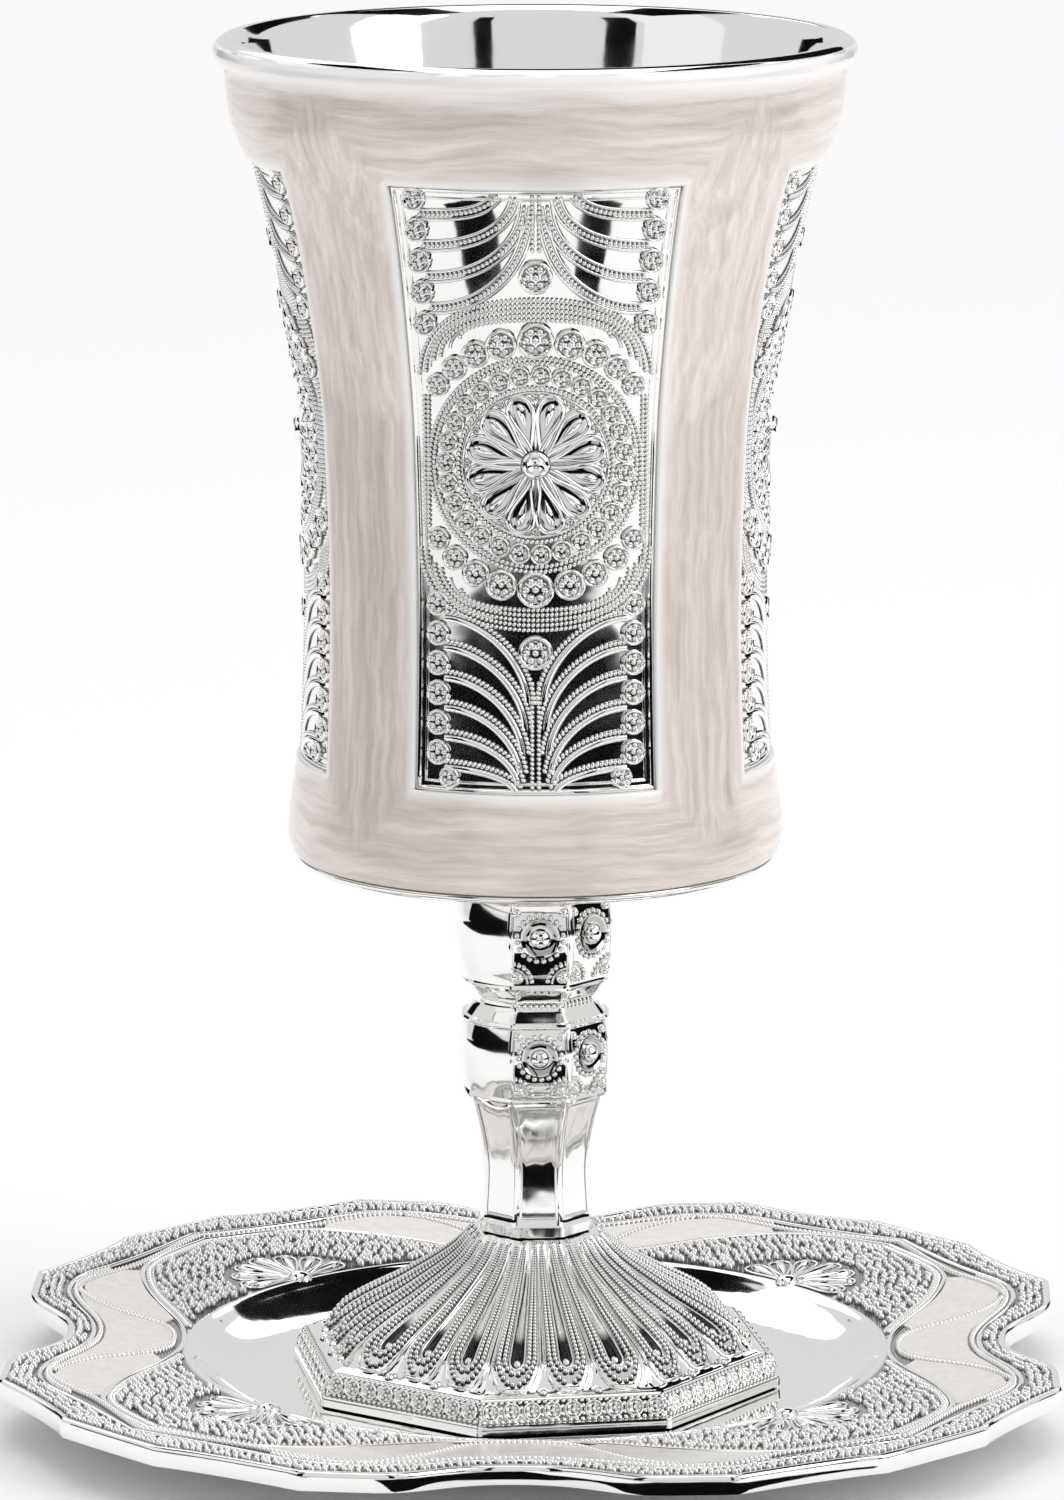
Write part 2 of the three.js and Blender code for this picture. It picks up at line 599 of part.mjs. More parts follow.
function tray() {
  let body = trayBody();
  for (let side = 0; side < 4; side += 1) {
    const turn = side * 90 * DEG;
    enamelCells(0).forEach((cell) => {
      body = body.subtract(solid(rimSlab(cell, -CELL_DEPTH, 1, turn)));
    });
    body = body.add(solid(palmette(turn + 45 * DEG)));
  }
  return meshFromSolid('tray', body, silver);
}

function trayInlays() {
  const inlays = [];
  for (let side = 0; side < 4; side += 1) {
    enamelCells(CELL_CLEARANCE).forEach((cell) => {
      const slab = rimSlab(cell, SEAT_GAP - CELL_DEPTH, 0, side * 90 * DEG);
      inlays.push(namedMesh(`tray_enamel_${side + 1}_${cell.name}`, sealed(slab), trayEnamel));
    });
  }
  return inlays;
}

const cup = new THREE.Group();
cup.name = 'cup';
cup.position.z = TRAY_FLOOR_Z + SEAT_GAP;
const pedestal = new THREE.Group();
pedestal.name = 'pedestal';
pedestal.add(foot(), stem());
cup.add(pedestal, bowl(), enamelJacket());

const saucer = new THREE.Group();
saucer.name = 'saucer';
saucer.rotation.z = TRAY_TURN;
saucer.add(tray(), ...trayInlays());

const group = new THREE.Group();
group.name = 'kiddush_cup';
group.add(saucer, cup);
export default group;
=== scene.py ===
import math
import random

import bmesh
import bpy
from mathutils import Matrix, Vector


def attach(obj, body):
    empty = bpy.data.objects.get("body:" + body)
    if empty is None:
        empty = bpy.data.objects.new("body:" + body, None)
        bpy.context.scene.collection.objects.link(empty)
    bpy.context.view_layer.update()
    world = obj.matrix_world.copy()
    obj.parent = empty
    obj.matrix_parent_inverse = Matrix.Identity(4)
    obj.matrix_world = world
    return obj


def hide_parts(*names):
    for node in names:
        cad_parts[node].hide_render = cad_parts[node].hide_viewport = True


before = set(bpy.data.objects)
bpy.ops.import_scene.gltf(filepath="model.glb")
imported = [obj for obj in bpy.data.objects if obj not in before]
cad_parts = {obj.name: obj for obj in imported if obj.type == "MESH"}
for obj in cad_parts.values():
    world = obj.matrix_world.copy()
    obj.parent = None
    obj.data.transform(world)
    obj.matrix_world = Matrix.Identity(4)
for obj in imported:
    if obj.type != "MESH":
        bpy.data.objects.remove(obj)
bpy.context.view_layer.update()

# All shapes are worked out in millimetres and brought to metres when a piece is finished.
MM = 0.001
TAU = 2 * math.pi

# The cup stands on the floor of the tray.
CUP_LIFT = 2.3
FOOT_TURN = math.radians(9.5)
STEM_TURN = math.radians(3.5)
TRAY_TURN = math.radians(-1.9)

# Bowl wall: radius and height above the underside of the foot.
BOWL_STATIONS = [
    (31.2, 70.0),
    (31.95, 72.8),
    (30.8, 83.5),
    (30.2, 104.0),
    (31.0, 127.0),
    (33.0, 142.7),
    (36.2, 158.0),
    (39.1, 166.3),
    (39.6, 171.7),
]
ENAMEL_THICKNESS = 0.9
SEAT_GAP = 0.1
WALL = 1.6
JACKET_FOOT_Z, BELLY_Z, WALL_TOP_Z = (BOWL_STATIONS[i][1] for i in (0, 1, -1))
UNDERSIDE_Z = 68.8
BASE_RIM_R = 30.9
LIP_R, LIP_Z = 39.1, 173.6
LIP_HALF_WIDTH, LIP_HALF_HEIGHT = 1.8, 1.7
MOUTH_CONE_Z = 156.0
BOWL_FLOOR_Z, FLOOR_ROUND = 72.2, 5.8
BOWL_STEPS = 144

# Relief panels: u runs round the wall, v up from the medallion, h out of the ground.
PANEL_HALF_ANGLE = math.radians(30)
PANEL_BOTTOM, PANEL_TOP = 83.0, 160.0
MEDALLION_Z = 124.9
V_LOW, V_HIGH = PANEL_BOTTOM - MEDALLION_Z, PANEL_TOP - MEDALLION_Z


def station_curve(stations):
    """A smooth function through (value, place) stations, without overshoot."""
    slopes = []
    for i, (r, z) in enumerate(stations):
        r0, z0 = stations[max(i - 1, 0)]
        r1, z1 = stations[min(i + 1, len(stations) - 1)]
        if i in (0, len(stations) - 1):
            slopes.append((r1 - r0) / (z1 - z0))
            continue
        left, right = (r - r0) / (z - z0), (r1 - r) / (z1 - z)
        slopes.append(0 if left * right <= 0 else 2 * left * right / (left + right))

    def radius(z):
        i = 0
        while i < len(stations) - 2 and z > stations[i + 1][1]:
            i += 1
        (r0, z0), (r1, z1) = stations[i], stations[i + 1]
        span = z1 - z0
        t = min(max((z - z0) / span, 0), 1)
        s = 1 - t
        low = (1 + 2 * t) * s * s * r0 + t * s * s * span * slopes[i]
        return low + t * t * (3 - 2 * t) * r1 - t * t * s * span * slopes[i + 1]

    return radius


enamel_radius = station_curve(BOWL_STATIONS)


def ground_radius(z):
    return enamel_radius(z) - ENAMEL_THICKNESS - SEAT_GAP


def inner_radius(z):
    return ground_radius(z) - WALL


# Helpers for shapes.
def smooth(low, high, x):
    """A soft step from 0 at low to 1 at high."""
    t = min(max((x - low) / (high - low), 0), 1)
    return t * t * (3 - 2 * t)


def steps_to(start, end, count):
    """Evenly spaced values after start, the last of them at end."""
    return [start + (end - start) * i / count for i in range(1, count + 1)]


def around(radius, angle):
    return radius * math.cos(angle), radius * math.sin(angle)


def moved(x, y, z=0.0):
    return Matrix.Translation((x, y, z))


def scaled(x, y, z):
    return Matrix.Diagonal((x, y, z, 1))


def about_z(angle):
    return Matrix.Rotation(angle, 4, "Z")


def blank():
    """An empty shape with a vertex attribute for painted shade: 0 is bright metal, 1 the darkest shade
    painted into a hollow.
    """
    bm = bmesh.new()
    bm.verts.layers.float.new("painted_shade")
    return bm


def darken(bm, tone, first=0):
    """Paint shade: set the painted-shade value of every vertex from number first on, by a function of its
    place.
    """
    painted_shade = bm.verts.layers.float["painted_shade"]
    bm.verts.ensure_lookup_table()
    for v in bm.verts[first:]:
        v[painted_shade] = tone(v.co)


def soften(bm, crisp=0.0):
    """Smooth shading; where crisp is given, edges that turn by more than that angle stay sharp."""
    for face in bm.faces:
        face.smooth = True
    for edge in bm.edges if crisp else ():
        edge.smooth = len(edge.link_faces) == 2 and edge.calc_face_angle() < crisp


def round_edges(bm, edges, width, segments):
    shape = {"offset": width, "offset_type": "OFFSET", "segments": segments, "profile": 0.5}
    bmesh.ops.bevel(bm, geom=edges, affect="EDGES", clamp_overlap=True, material=-1, **shape)


class Stamp:
    """A small shape that is set many times onto others."""

    def __init__(self, bm):
        soften(bm)
        self.mesh = bpy.data.meshes.new("stamp")
        bm.to_mesh(self.mesh)
        bm.free()
        self.base = [0.0] * (3 * len(self.mesh.vertices))
        self.mesh.vertices.foreach_get("co", self.base)

    def onto(self, bm, matrix):
        self.mesh.vertices.foreach_set("co", self.base)
        self.mesh.transform(matrix)
        bm.from_mesh(self.mesh, face_normals=False, vertex_normals=False)


def dome(segments, bands):
    """Upper half of a unit ball, its cut side a little below the ground, with shade painted at its foot."""
    bm = blank()
    bmesh.ops.create_uvsphere(bm, u_segments=segments, v_segments=bands * 2, radius=1)
    low = [v for v in bm.verts if v.co.z < -0.01]
    bmesh.ops.delete(bm, geom=low, context="VERTS")
    rim = [v for v in bm.verts if v.is_boundary]
    sunk = 0.25
    bmesh.ops.translate(bm, vec=(0, 0, -sunk), verts=rim)
    darken(bm, lambda co: 1.0 if co.z < 0 else 0.0)
    return bm


def grain():
    """A small ball with shade painted towards its foot."""
    bm = dome(6, 2)
    foot_shade = 0.85
    darken(bm, lambda co: min(1.0, foot_shade * (1 - co.z)))
    return bm


def turned(bm, profile, steps, angle=TAU):
    """Spin an open profile of (radius, height) round the Z axis."""
    points = [bm.verts.new((r, 0, z)) for r, z in profile]
    edges = [bm.edges.new(pair) for pair in zip(points, points[1:])]
    bmesh.ops.spin(
        bm,
        geom=points + edges,
        cent=(0, 0, 0),
        axis=(0, 0, 1),
        angle=angle,
        steps=steps,
        use_merge=abs(angle - TAU) < 1e-6,
    )
    bmesh.ops.remove_doubles(bm, verts=bm.verts, dist=1e-4)
    bmesh.ops.recalc_face_normals(bm, faces=bm.faces)


def roundel_stamp(grains, steps):
    """A roundel of unit radius: a raised rim, a dish, a circle of grains and a bead in the middle."""
    bm = blank()
    rim = [(1.0, -0.2), (0.98, 0.55), (0.9, 0.85), (0.8, 0.6), (0.74, 0.12), (0.4, 0.04), (0, 0.04)]
    turned(bm, rim, steps)
    # Painted shade: dark below the ground and lighter shade in the dish between rim and middle.
    dish_in, dish_out, dish_shade = 0.3, 0.77, 0.36
    darken(bm, lambda co: 1.0 if co.z < 0 else dish_shade if dish_in < co.xy.length < dish_out else 0.0)
    bead = Stamp(dome(6, 2))
    ring, floor = 0.5, 0.02
    bead.onto(bm, moved(0, 0, floor) @ scaled(0.24, 0.24, 0.8))
    for i in range(grains):
        bead.onto(bm, moved(*around(ring, TAU * i / grains), floor) @ scaled(0.25, 0.25, 0.7))
    return bm


def petal_stamp():
    """A domed drop along +X, thin at the inner end and round at the outer one."""
    bm = dome(20, 4)
    for v in bm.verts:
        along = max((v.co.x + 1) / 2, 0)
        v.co.y *= 0.16 + 0.84 * math.sin(along * math.pi / 2) ** 1.2
        v.co.z *= 0.45 + 0.55 * along if v.co.z > 0 else 1
    return bm


def petal_ground():
    """The ground inside a petal, with shade painted on it."""
    bm = petal_stamp()
    ground_shade = 0.46
    darken(bm, lambda co: ground_shade)
    return bm


def hub_stamp():
    """The middle of the medallion: a rounded ring round a pit with shade painted in it."""
    bm = blank()
    turned(bm, [(1.0, -0.2), (0.97, 0.5), (0.75, 0.92), (0.5, 0.8), (0.34, 0.4), (0, 0.3)], 24)
    pit, pit_shade = 0.3, 0.7
    darken(bm, lambda co: 1.0 if co.z < 0 else pit_shade if co.xy.length < pit else 0.0)
    return bm


def dish_stamp():
    """A shallow dish of unit radius with shade painted on it, heavier on the slope below its rim."""
    bm = blank()
    turned(bm, [(1.0, 0.42), (0.86, 0.2), (0.7, 0.08), (0.5, 0.04), (0, 0.04)], 28)
    slope_shade, floor_shade = 0.55, 0.3
    darken(bm, lambda co: slope_shade if 0.6 < co.xy.length < 0.95 else floor_shade)
    return bm


BEAD = Stamp(dome(8, 2))
GRAIN = Stamp(grain())
BALL = Stamp(dome(16, 4))
ROUNDEL = Stamp(roundel_stamp(5, 14))
ROSETTE = Stamp(roundel_stamp(6, 20))
PETAL = Stamp(petal_stamp())
PETAL_GROUND = Stamp(petal_ground())
HUB = Stamp(hub_stamp())
DISH = Stamp(dish_stamp())


def bezier(p0, p1, p2, p3, steps):
    """Points of a cubic curve, in as many dimensions as its ends have."""
    points = []
    for i in range(steps + 1):
        t = i / steps
        s = 1 - t
        weights = (s**3, 3 * s * s * t, 3 * s * t * t, t**3)
        corners = (p0, p1, p2, p3)
        points.append(tuple(sum(w * c[k] for w, c in zip(weights, corners)) for k in range(len(p0))))
    return points


def arc(centre, radius, start, end, steps):
    """Points of a flat arc; angles in degrees from +u."""
    points = []
    for i in range(steps + 1):
        a = math.radians(start + (end - start) * i / steps)
        points.append((centre[0] + radius * math.cos(a), centre[1] + radius * math.sin(a)))
    return points


def spaced(path, pitch):
    """Evenly spaced (x, y, direction) along a flat path, a whole number of steps from end to end."""
    lengths = [0.0]
    for a, b in zip(path, path[1:]):
        lengths.append(lengths[-1] + math.dist(a, b))
    count = max(1, round(lengths[-1] / pitch))
    places, k = [], 0
    for i in range(count):
        at = (i + 0.5) * lengths[-1] / count
        while k < len(path) - 2 and lengths[k + 1] < at:
            k += 1
        a, b = path[k], path[k + 1]
        t = (at - lengths[k]) / max(lengths[k + 1] - lengths[k], 1e-9)
        heading = math.atan2(b[1] - a[1], b[0] - a[0])
        places.append((a[0] + (b[0] - a[0]) * t, a[1] + (b[1] - a[1]) * t, heading))
    return places


def bead_row(bm, path, pitch, size, height):
    """A row of round grains along a flat path."""
    for x, y, heading in spaced(path, pitch):
        BEAD.onto(bm, moved(x, y) @ about_z(heading) @ scaled(size / 2, size / 2, height))


def rope(bm, path, pitch, width, height):
    """A twisted cord along a flat path: slanted oval strands side by side."""
    slant, strand_length, strand_width = 0.9, 0.62, 0.5
    for x, y, heading in spaced(path, pitch):
        turn = moved(x, y) @ about_z(heading + slant)
        BEAD.onto(bm, turn @ scaled(width * strand_length, pitch * strand_width, height))


def wires(bm, paths, radius, sides=2):
    """Round wires along paths of (x, y) or (x, y, z); those laid out flat get shade painted at their foot."""
    data = bpy.data.curves.new("wire", "CURVE")
    data.dimensions = "3D"
    data.bevel_depth = radius
    data.bevel_resolution = sides
    data.use_fill_caps = True
    for path in paths:
        spline = data.splines.new("POLY")
        spline.points.add(len(path) - 1)
        for point, co in zip(spline.points, path):
            point.co = (co[0], co[1], co[2] if len(co) > 2 else 0, 1)
    holder = bpy.data.objects.new("wire", data)
    bpy.context.scene.collection.objects.link(holder)
    graph = bpy.context.evaluated_depsgraph_get()
    mesh = bpy.data.meshes.new_from_object(holder.evaluated_get(graph))
    for polygon in mesh.polygons:
        polygon.use_smooth = True
    known = len(bm.verts)
    bm.from_mesh(mesh)
    if len(paths[0][0]) == 2:
        dark_below = 0.3 * radius
        darken(bm, lambda co: 1.0 if co.z < dark_below else 0.0, known)
    bpy.data.objects.remove(holder)
    bpy.data.curves.remove(data)
    bpy.data.meshes.remove(mesh)


def mirrored(path):
    return [(-p[0],) + tuple(p[1:]) for p in path]


def copies(bm, count):
    """The shapes in bm repeated round the Z axis."""
    part = bpy.data.meshes.new("part")
    bm.to_mesh(part)
    bm.clear()
    for _ in range(count):
        bm.from_mesh(part)
        part.transform(about_z(TAU / count))
    bpy.data.meshes.remove(part)


def finish_piece(name, bm, material, nodes=(), lift=0.0, turn=0.0):
    """Bring a piece to its place in metres, hang it under the root body and hide the imported parts it stands
    for.
    """
    place = scaled(MM, MM, MM) @ moved(0, 0, lift) @ about_z(turn)
    bmesh.ops.transform(bm, matrix=place, verts=bm.verts)
    mesh = bpy.data.meshes.new(name)
    bm.to_mesh(mesh)
    bm.free()
    mesh.materials.append(material)
    piece = bpy.data.objects.new(name, mesh)
    bpy.context.scene.collection.objects.link(piece)
    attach(piece, "root")
    if nodes:
        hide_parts(*nodes)


# Materials; lengths in the node settings are in metres.
BUMP_DEPTH = 0.0006
STROKE_DRIFT = 0.0038
UPRIGHT_STROKES, LEVEL_STROKES = (760, 760, 34), (60, 60, 760)
# Colour of the shade painted into hollows and between parts of the relief.
HOLLOW_SHADE = (0.05, 0.05, 0.05)
# Colour of the highlight painted on the jacket's rounded edges.
EDGE_HIGHLIGHT = (0.93, 0.91, 0.895)
MIX_FACTOR, MIX_A, MIX_B, MIX_RESULT = 0, 6, 7, 2  # colour sockets of the mix node


def feed(tree, node, values):
    """Give inputs of a shader node their values, or link them to the outputs that are given."""
    for name, value in values.items():
        if isinstance(value, bpy.types.NodeSocket):
            tree.links.new(value, node.inputs[name])
        else:
            node.inputs[name].default_value = value
    return node


def add_node(tree, kind, values):
    return feed(tree, tree.nodes.new("ShaderNode" + kind), values)


def surface(name, colour, metallic, roughness):
    material = bpy.data.materials.new(name)
    material.use_nodes = True
    tree = material.node_tree
    shader = tree.nodes["Principled BSDF"]
    feed(tree, shader, {"Base Color": (*colour, 1), "Metallic": metallic, "Roughness": roughness})
    return material, tree, shader


def attribute(tree, name):
    """The value of a vertex attribute."""
    made = tree.nodes.new("ShaderNodeAttribute")
    made.attribute_name = name
    return made.outputs["Fac"]


def ramp(tree, value, start, end):
    """The colour for a value, between two pairs of position and colour."""
    made = add_node(tree, "ValToRGB", {"Fac": value})
    for element, (position, colour) in zip(made.color_ramp.elements, (start, end)):
        element.position = position
        element.color = (*colour, 1)
    return made.outputs["Color"]


def emboss(tree, height, strength):
    """The normals of a surface that a pattern raises."""
    bump = {"Height": height, "Strength": strength, "Distance": BUMP_DEPTH}
    return add_node(tree, "Bump", bump).outputs["Normal"]


def silver(name, colour, low, high, wave, shade_colour=None):
    """Polished plate: slightly uneven gloss, the faint waviness of a casting and, where a shade colour is
    given, shade painted into the hollows of relief.
    """
    material, tree, shader = surface(name, colour, 1, low)
    place = tree.nodes.new("ShaderNodeTexCoord").outputs["Object"]
    cloud = add_node(tree, "TexNoise", {"Vector": place, "Scale": 140, "Detail": 3}).outputs["Fac"]
    gloss = {"Value": cloud, "From Min": 0.35, "From Max": 0.7, "To Min": low, "To Max": high}
    ripple = add_node(tree, "TexNoise", {"Vector": place, "Scale": 260, "Detail": 1}).outputs["Fac"]
    feed(tree, shader, {"Roughness": add_node(tree, "MapRange", gloss).outputs["Result"]})
    feed(tree, shader, {"Normal": emboss(tree, ripple, wave)})
    # Painted shade: the vertex attribute turns the colour towards the shade colour in hollows.
    if shade_colour:
        shade = ramp(tree, attribute(tree, "painted_shade"), (0.2, colour), (0.85, shade_colour))
        feed(tree, shader, {"Base Color": shade})
    return material


def pearl(name, dark, light, jacket):
    """Pearl enamel under a clear coat; on the jacket, attributes steer the strokes and paint a highlight on
    the rounded edges.
    """
    material, tree, shader = surface(name, light, 0.12, 0.34)
    feed(tree, shader, {"Coat Weight": 1, "Coat Roughness": 0.14, "Coat IOR": 1.5})
    place = tree.nodes.new("ShaderNodeTexCoord").outputs["Object"]
    drift = add_node(tree, "TexNoise", {"Vector": place, "Scale": 70, "Detail": 3}).outputs["Color"]
    pull = tree.nodes.new("ShaderNodeVectorMath")
    pull.operation = "MULTIPLY_ADD"
    feed(tree, pull, {0: drift, 1: (STROKE_DRIFT, STROKE_DRIFT, STROKE_DRIFT), 2: place})

    def strokes(scale):
        stretch = add_node(tree, "Mapping", {"Vector": pull.outputs["Vector"], "Scale": scale})
        noise = {"Vector": stretch.outputs["Vector"], "Scale": 1, "Detail": 5, "Roughness": 0.62}
        return add_node(tree, "TexNoise", noise).outputs["Fac"]

    stroke = strokes(UPRIGHT_STROKES)
    if jacket:
        blend = {"Factor": attribute(tree, "comb"), "A": strokes(LEVEL_STROKES), "B": stroke}
        stroke = add_node(tree, "Mix", blend).outputs["Result"]
    colour = ramp(tree, stroke, (0.28, dark), (0.7, light))
    if jacket:
        # Painted highlight: the edge attribute turns the enamel pale along the window edges and on the lip
        # roll.
        highlight_mix = tree.nodes.new("ShaderNodeMix")
        highlight_mix.data_type = "RGBA"
        feed(tree, highlight_mix, {MIX_FACTOR: attribute(tree, "edge"), MIX_A: colour, MIX_B: (*EDGE_HIGHLIGHT, 1)})
        colour = highlight_mix.outputs[MIX_RESULT]
    feed(tree, shader, {"Base Color": colour, "Normal": emboss(tree, stroke, 0.4)})
    return material


SILVER = silver("polished_silver", (0.96, 0.955, 0.945), 0.03, 0.09, 0.05, HOLLOW_SHADE)
BOWL_SILVER = silver("bowl_silver", (0.94, 0.935, 0.92), 0.04, 0.1, 0.03)
CARVED = silver("carved_silver", (0.97, 0.965, 0.955), 0.03, 0.07, 0.02, HOLLOW_SHADE)
PEARL = pearl("pearl_enamel", (0.58, 0.495, 0.445), (0.87, 0.805, 0.77), True)
TRAY_PEARL = pearl("tray_enamel", (0.74, 0.69, 0.665), (0.88, 0.84, 0.815), False)


# Bowl.
def lip_point(degrees, proud=0.0):
    """A point on the rolled lip, by its angle above the level of the roll's middle."""
    a = math.radians(degrees)
    r = LIP_R + (LIP_HALF_WIDTH + proud) * math.cos(a)
    return r, LIP_Z + (LIP_HALF_HEIGHT + proud) * math.sin(a)


def bowl_body():
    """One closed casting from the underside over the lip to the hollow inside."""
    profile = [(0, UNDERSIDE_Z), (12, UNDERSIDE_Z), (26, UNDERSIDE_Z), (BASE_RIM_R - 1.6, UNDERSIDE_Z)]
    profile += [(BASE_RIM_R - 0.5, UNDERSIDE_Z + 0.25), (BASE_RIM_R, UNDERSIDE_Z + 0.75)]
    profile += [(BASE_RIM_R, JACKET_FOOT_Z - 0.1), (BASE_RIM_R - 0.2, JACKET_FOOT_Z + 0.02)]
    profile.append((ground_radius(JACKET_FOOT_Z), JACKET_FOOT_Z + 0.05))
    wall_low, wall_high = JACKET_FOOT_Z + 0.4, WALL_TOP_Z - 0.4
    profile += [(ground_radius(z), z) for z in [wall_low] + steps_to(wall_low, wall_high, 52)]
    profile.append((ground_radius(WALL_TOP_Z), WALL_TOP_Z + 0.05))
    lip_from, lip_to = -62, 116
    profile += [lip_point(degrees) for degrees in [lip_from] + steps_to(lip_from, lip_to, 17)]
    mouth_r, mouth_z = profile[-1]
    cone_slope = (mouth_r - inner_radius(MOUTH_CONE_Z)) / (mouth_z - MOUTH_CONE_Z)
    round_z = BOWL_FLOOR_Z + FLOOR_ROUND
    for z in steps_to(mouth_z, round_z, 48):
        cone = mouth_r + (z - mouth_z) * cone_slope
        profile.append((cone if z > MOUTH_CONE_Z else inner_radius(z), z))
    floor_r = inner_radius(round_z) - FLOOR_ROUND
    for angle in steps_to(0, math.pi / 2, 8):
        r, drop = around(FLOOR_ROUND, angle)
        profile.append((floor_r + r, round_z - drop))
    profile += [(12, BOWL_FLOOR_Z), (0, BOWL_FLOOR_Z)]
    bm = bmesh.new()
    turned(bm, profile, BOWL_STEPS)
    soften(bm)
    return bm


def off_panel(co):
    """Angle of a place from the middle line of the nearest panel."""
    return abs((math.atan2(co.y, co.x) + TAU + math.pi / 4) % (math.pi / 2) - math.pi / 4)


def enamel_jacket():
    """A spun wall with four windows, drawn in to its thickness and rounded at the outer edges."""
    heights = [JACKET_FOOT_Z + 0.15, JACKET_FOOT_Z + 0.8, JACKET_FOOT_Z + 1.6, BELLY_Z]
    heights += steps_to(BELLY_Z, PANEL_BOTTOM, 6)
    heights += steps_to(PANEL_BOTTOM, PANEL_TOP, 40)
    heights += steps_to(PANEL_TOP, WALL_TOP_Z - 0.05, 10)
    profile = [(enamel_radius(z), z) for z in heights]
    lip_from, lip_step, proud, thinning = -40, 11, 0.14, 0.015
    profile += [lip_point(lip_from + lip_step * i, proud - thinning * i) for i in range(9)]
    bm = bmesh.new()
    turned(bm, profile, BOWL_STEPS)
    windows = []
    for face in bm.faces:
        middle = face.calc_center_median()
        if PANEL_BOTTOM < middle.z < PANEL_TOP and off_panel(middle) < PANEL_HALF_ANGLE:
            windows.append(face)
    bmesh.ops.delete(bm, geom=windows, context="FACES")
    outer_edges = [edge for edge in bm.edges if edge.is_boundary]
    made = bmesh.ops.extrude_face_region(bm, geom=bm.faces[:], use_keep_orig=True)
    for element in made["geom"]:
        if isinstance(element, bmesh.types.BMVert):
            r = element.co.xy.length
            element.co.xy *= (r - ENAMEL_THICKNESS) / r
    bmesh.ops.recalc_face_normals(bm, faces=bm.faces)
    round_edges(bm, [edge for edge in outer_edges if edge.is_valid], 0.5, 4)
    soften(bm)
    bm.verts.layers.float.new("comb")
    bm.verts.layers.float.new("edge")
    comb = bm.verts.layers.float["comb"]
    edge_highlight = bm.verts.layers.float["edge"]
    seam, deepest = 1.2, -4
    pale_from, pale_full = 170.2, 172.6
    for v in bm.verts:
        aside = (off_panel(v.co) - PANEL_HALF_ANGLE) * v.co.xy.length
        beyond = max(v.co.z - PANEL_TOP, PANEL_BOTTOM - v.co.z)
        v[comb] = smooth(-seam, seam, aside - max(beyond, deepest))
        # Painted highlight: paler round the windows and up on the lip roll.
        by_window = 1 - smooth(0.3, 1.7, max(beyond, aside))
        v[edge_highlight] = max(by_window, smooth(pale_from, pale_full, v.co.z))
    return bm


# Relief panels; offset serves the tray as well.
def offset(path, distance):
    """A flat path moved to its left."""
    beside = []
    for i, p in enumerate(path):
        a, b = path[max(i - 1, 0)], path[min(i + 1, len(path) - 1)]
        length = math.dist(a, b) or 1
        beside.append((p[0] - (b[1] - a[1]) / length * distance, p[1] + (b[0] - a[0]) / length * distance))
    return beside


def rib_paths():
    """The ribs on the right half of a panel, from its middle line to the roundels at its side."""
    upper, lower = [], []
    for i, (u, v) in enumerate([(4.7, 34.3), (2.5, 34.0), (1.4, 33.0), (0.9, 32.0)]):
        end = (15.0 - 0.5 * i, 31.6 - 4.0 * i)
        upper.append(bezier((u, v), (u * 1.3, v + (end[1] - v) * 0.6), (end[0] * 0.5, end[1]), end, 20))
    for i, v in enumerate([-30.5, -33.6, -36.8, -39.2, -40.4, -41.2]):
        u = 0.5 + 0.32 * i
        end = (11.6, -19.4 - 3.78 * i)
        lower.append(bezier((u, v), (u * 1.3, v + (end[1] - v) * 0.55), (end[0] * 0.55, end[1]), end, 20))
    return upper, lower


def crest_arcs():
    """Cords of the crescents that crown the medallion, right half, from the middle line outwards."""
    arcs = []
    for i, end in enumerate([(15.0, 10.9), (14.1, 11.3), (13.0, 12.9), (12.1, 13.4), (9.6, 15.9)]):
        top = 21.0 - 0.64 * i
        knee = (end[0] * 0.97, end[1] + (top - end[1]) * 0.72)
        arcs.append(bezier((0, top), (end[0] * 0.56, top), knee, end, 24))
    return arcs


def side_roundels():
    """Centres and radii of the roundels down the right side of a panel."""
    places = [(15.5 - 0.35 * i, 33.6 - 4.0 * i, 1.62) for i in range(5)]
    places += [(12.55, -18.0 - 3.78 * i, 1.62) for i in range(6)]
    places.append((11.0, -40.0, 1.404))
    return places


def roundel(bm, stamp, u, v, radius, height):
    stamp.onto(bm, moved(u, v) @ scaled(radius, radius, height))


def circle(radius, steps=72):
    return arc((0, 0), radius, 0, 360, steps)


def petal_loop(place, start, lean, swell, end, steps):
    """Outline of a petal along +X: a curve from its thin end to its widest point, then a round end."""
    half = bezier(start, lean, (swell, end[1]), end, 10)
    half += arc((end[0], 0), end[1], 90, 0, steps)[1:]
    loop = half + [(x, -y) for x, y in half[::-1]]
    return [tuple((place @ Vector((x, y, 0))).xy) for x, y in loop]


def panel_frame(bm):
    """A thick wire round the panel and a thin one inside it, with only faint shade painted at their foot."""
    for inset, radius in ((0.25, 0.42), (1.3, 0.2)):
        low, high = V_LOW + inset, V_HIGH - inset
        rows = [low] + steps_to(low, high, 48)
        right = [(PANEL_HALF_ANGLE * ground_radius(MEDALLION_Z + v) - inset, v) for v in rows]
        left = mirrored(right)
        top = [(right[-1][0] * (1 - i / 8), high) for i in range(1, 16)]
        bottom = [(left[0][0] * (1 - i / 8), low) for i in range(1, 17)]
        wires(bm, [right + top + left[::-1] + bottom], radius, 2)
    painted_shade = bm.verts.layers.float["painted_shade"]
    frame_shade = 0.15
    for v in bm.verts:
        v[painted_shade] *= frame_shade


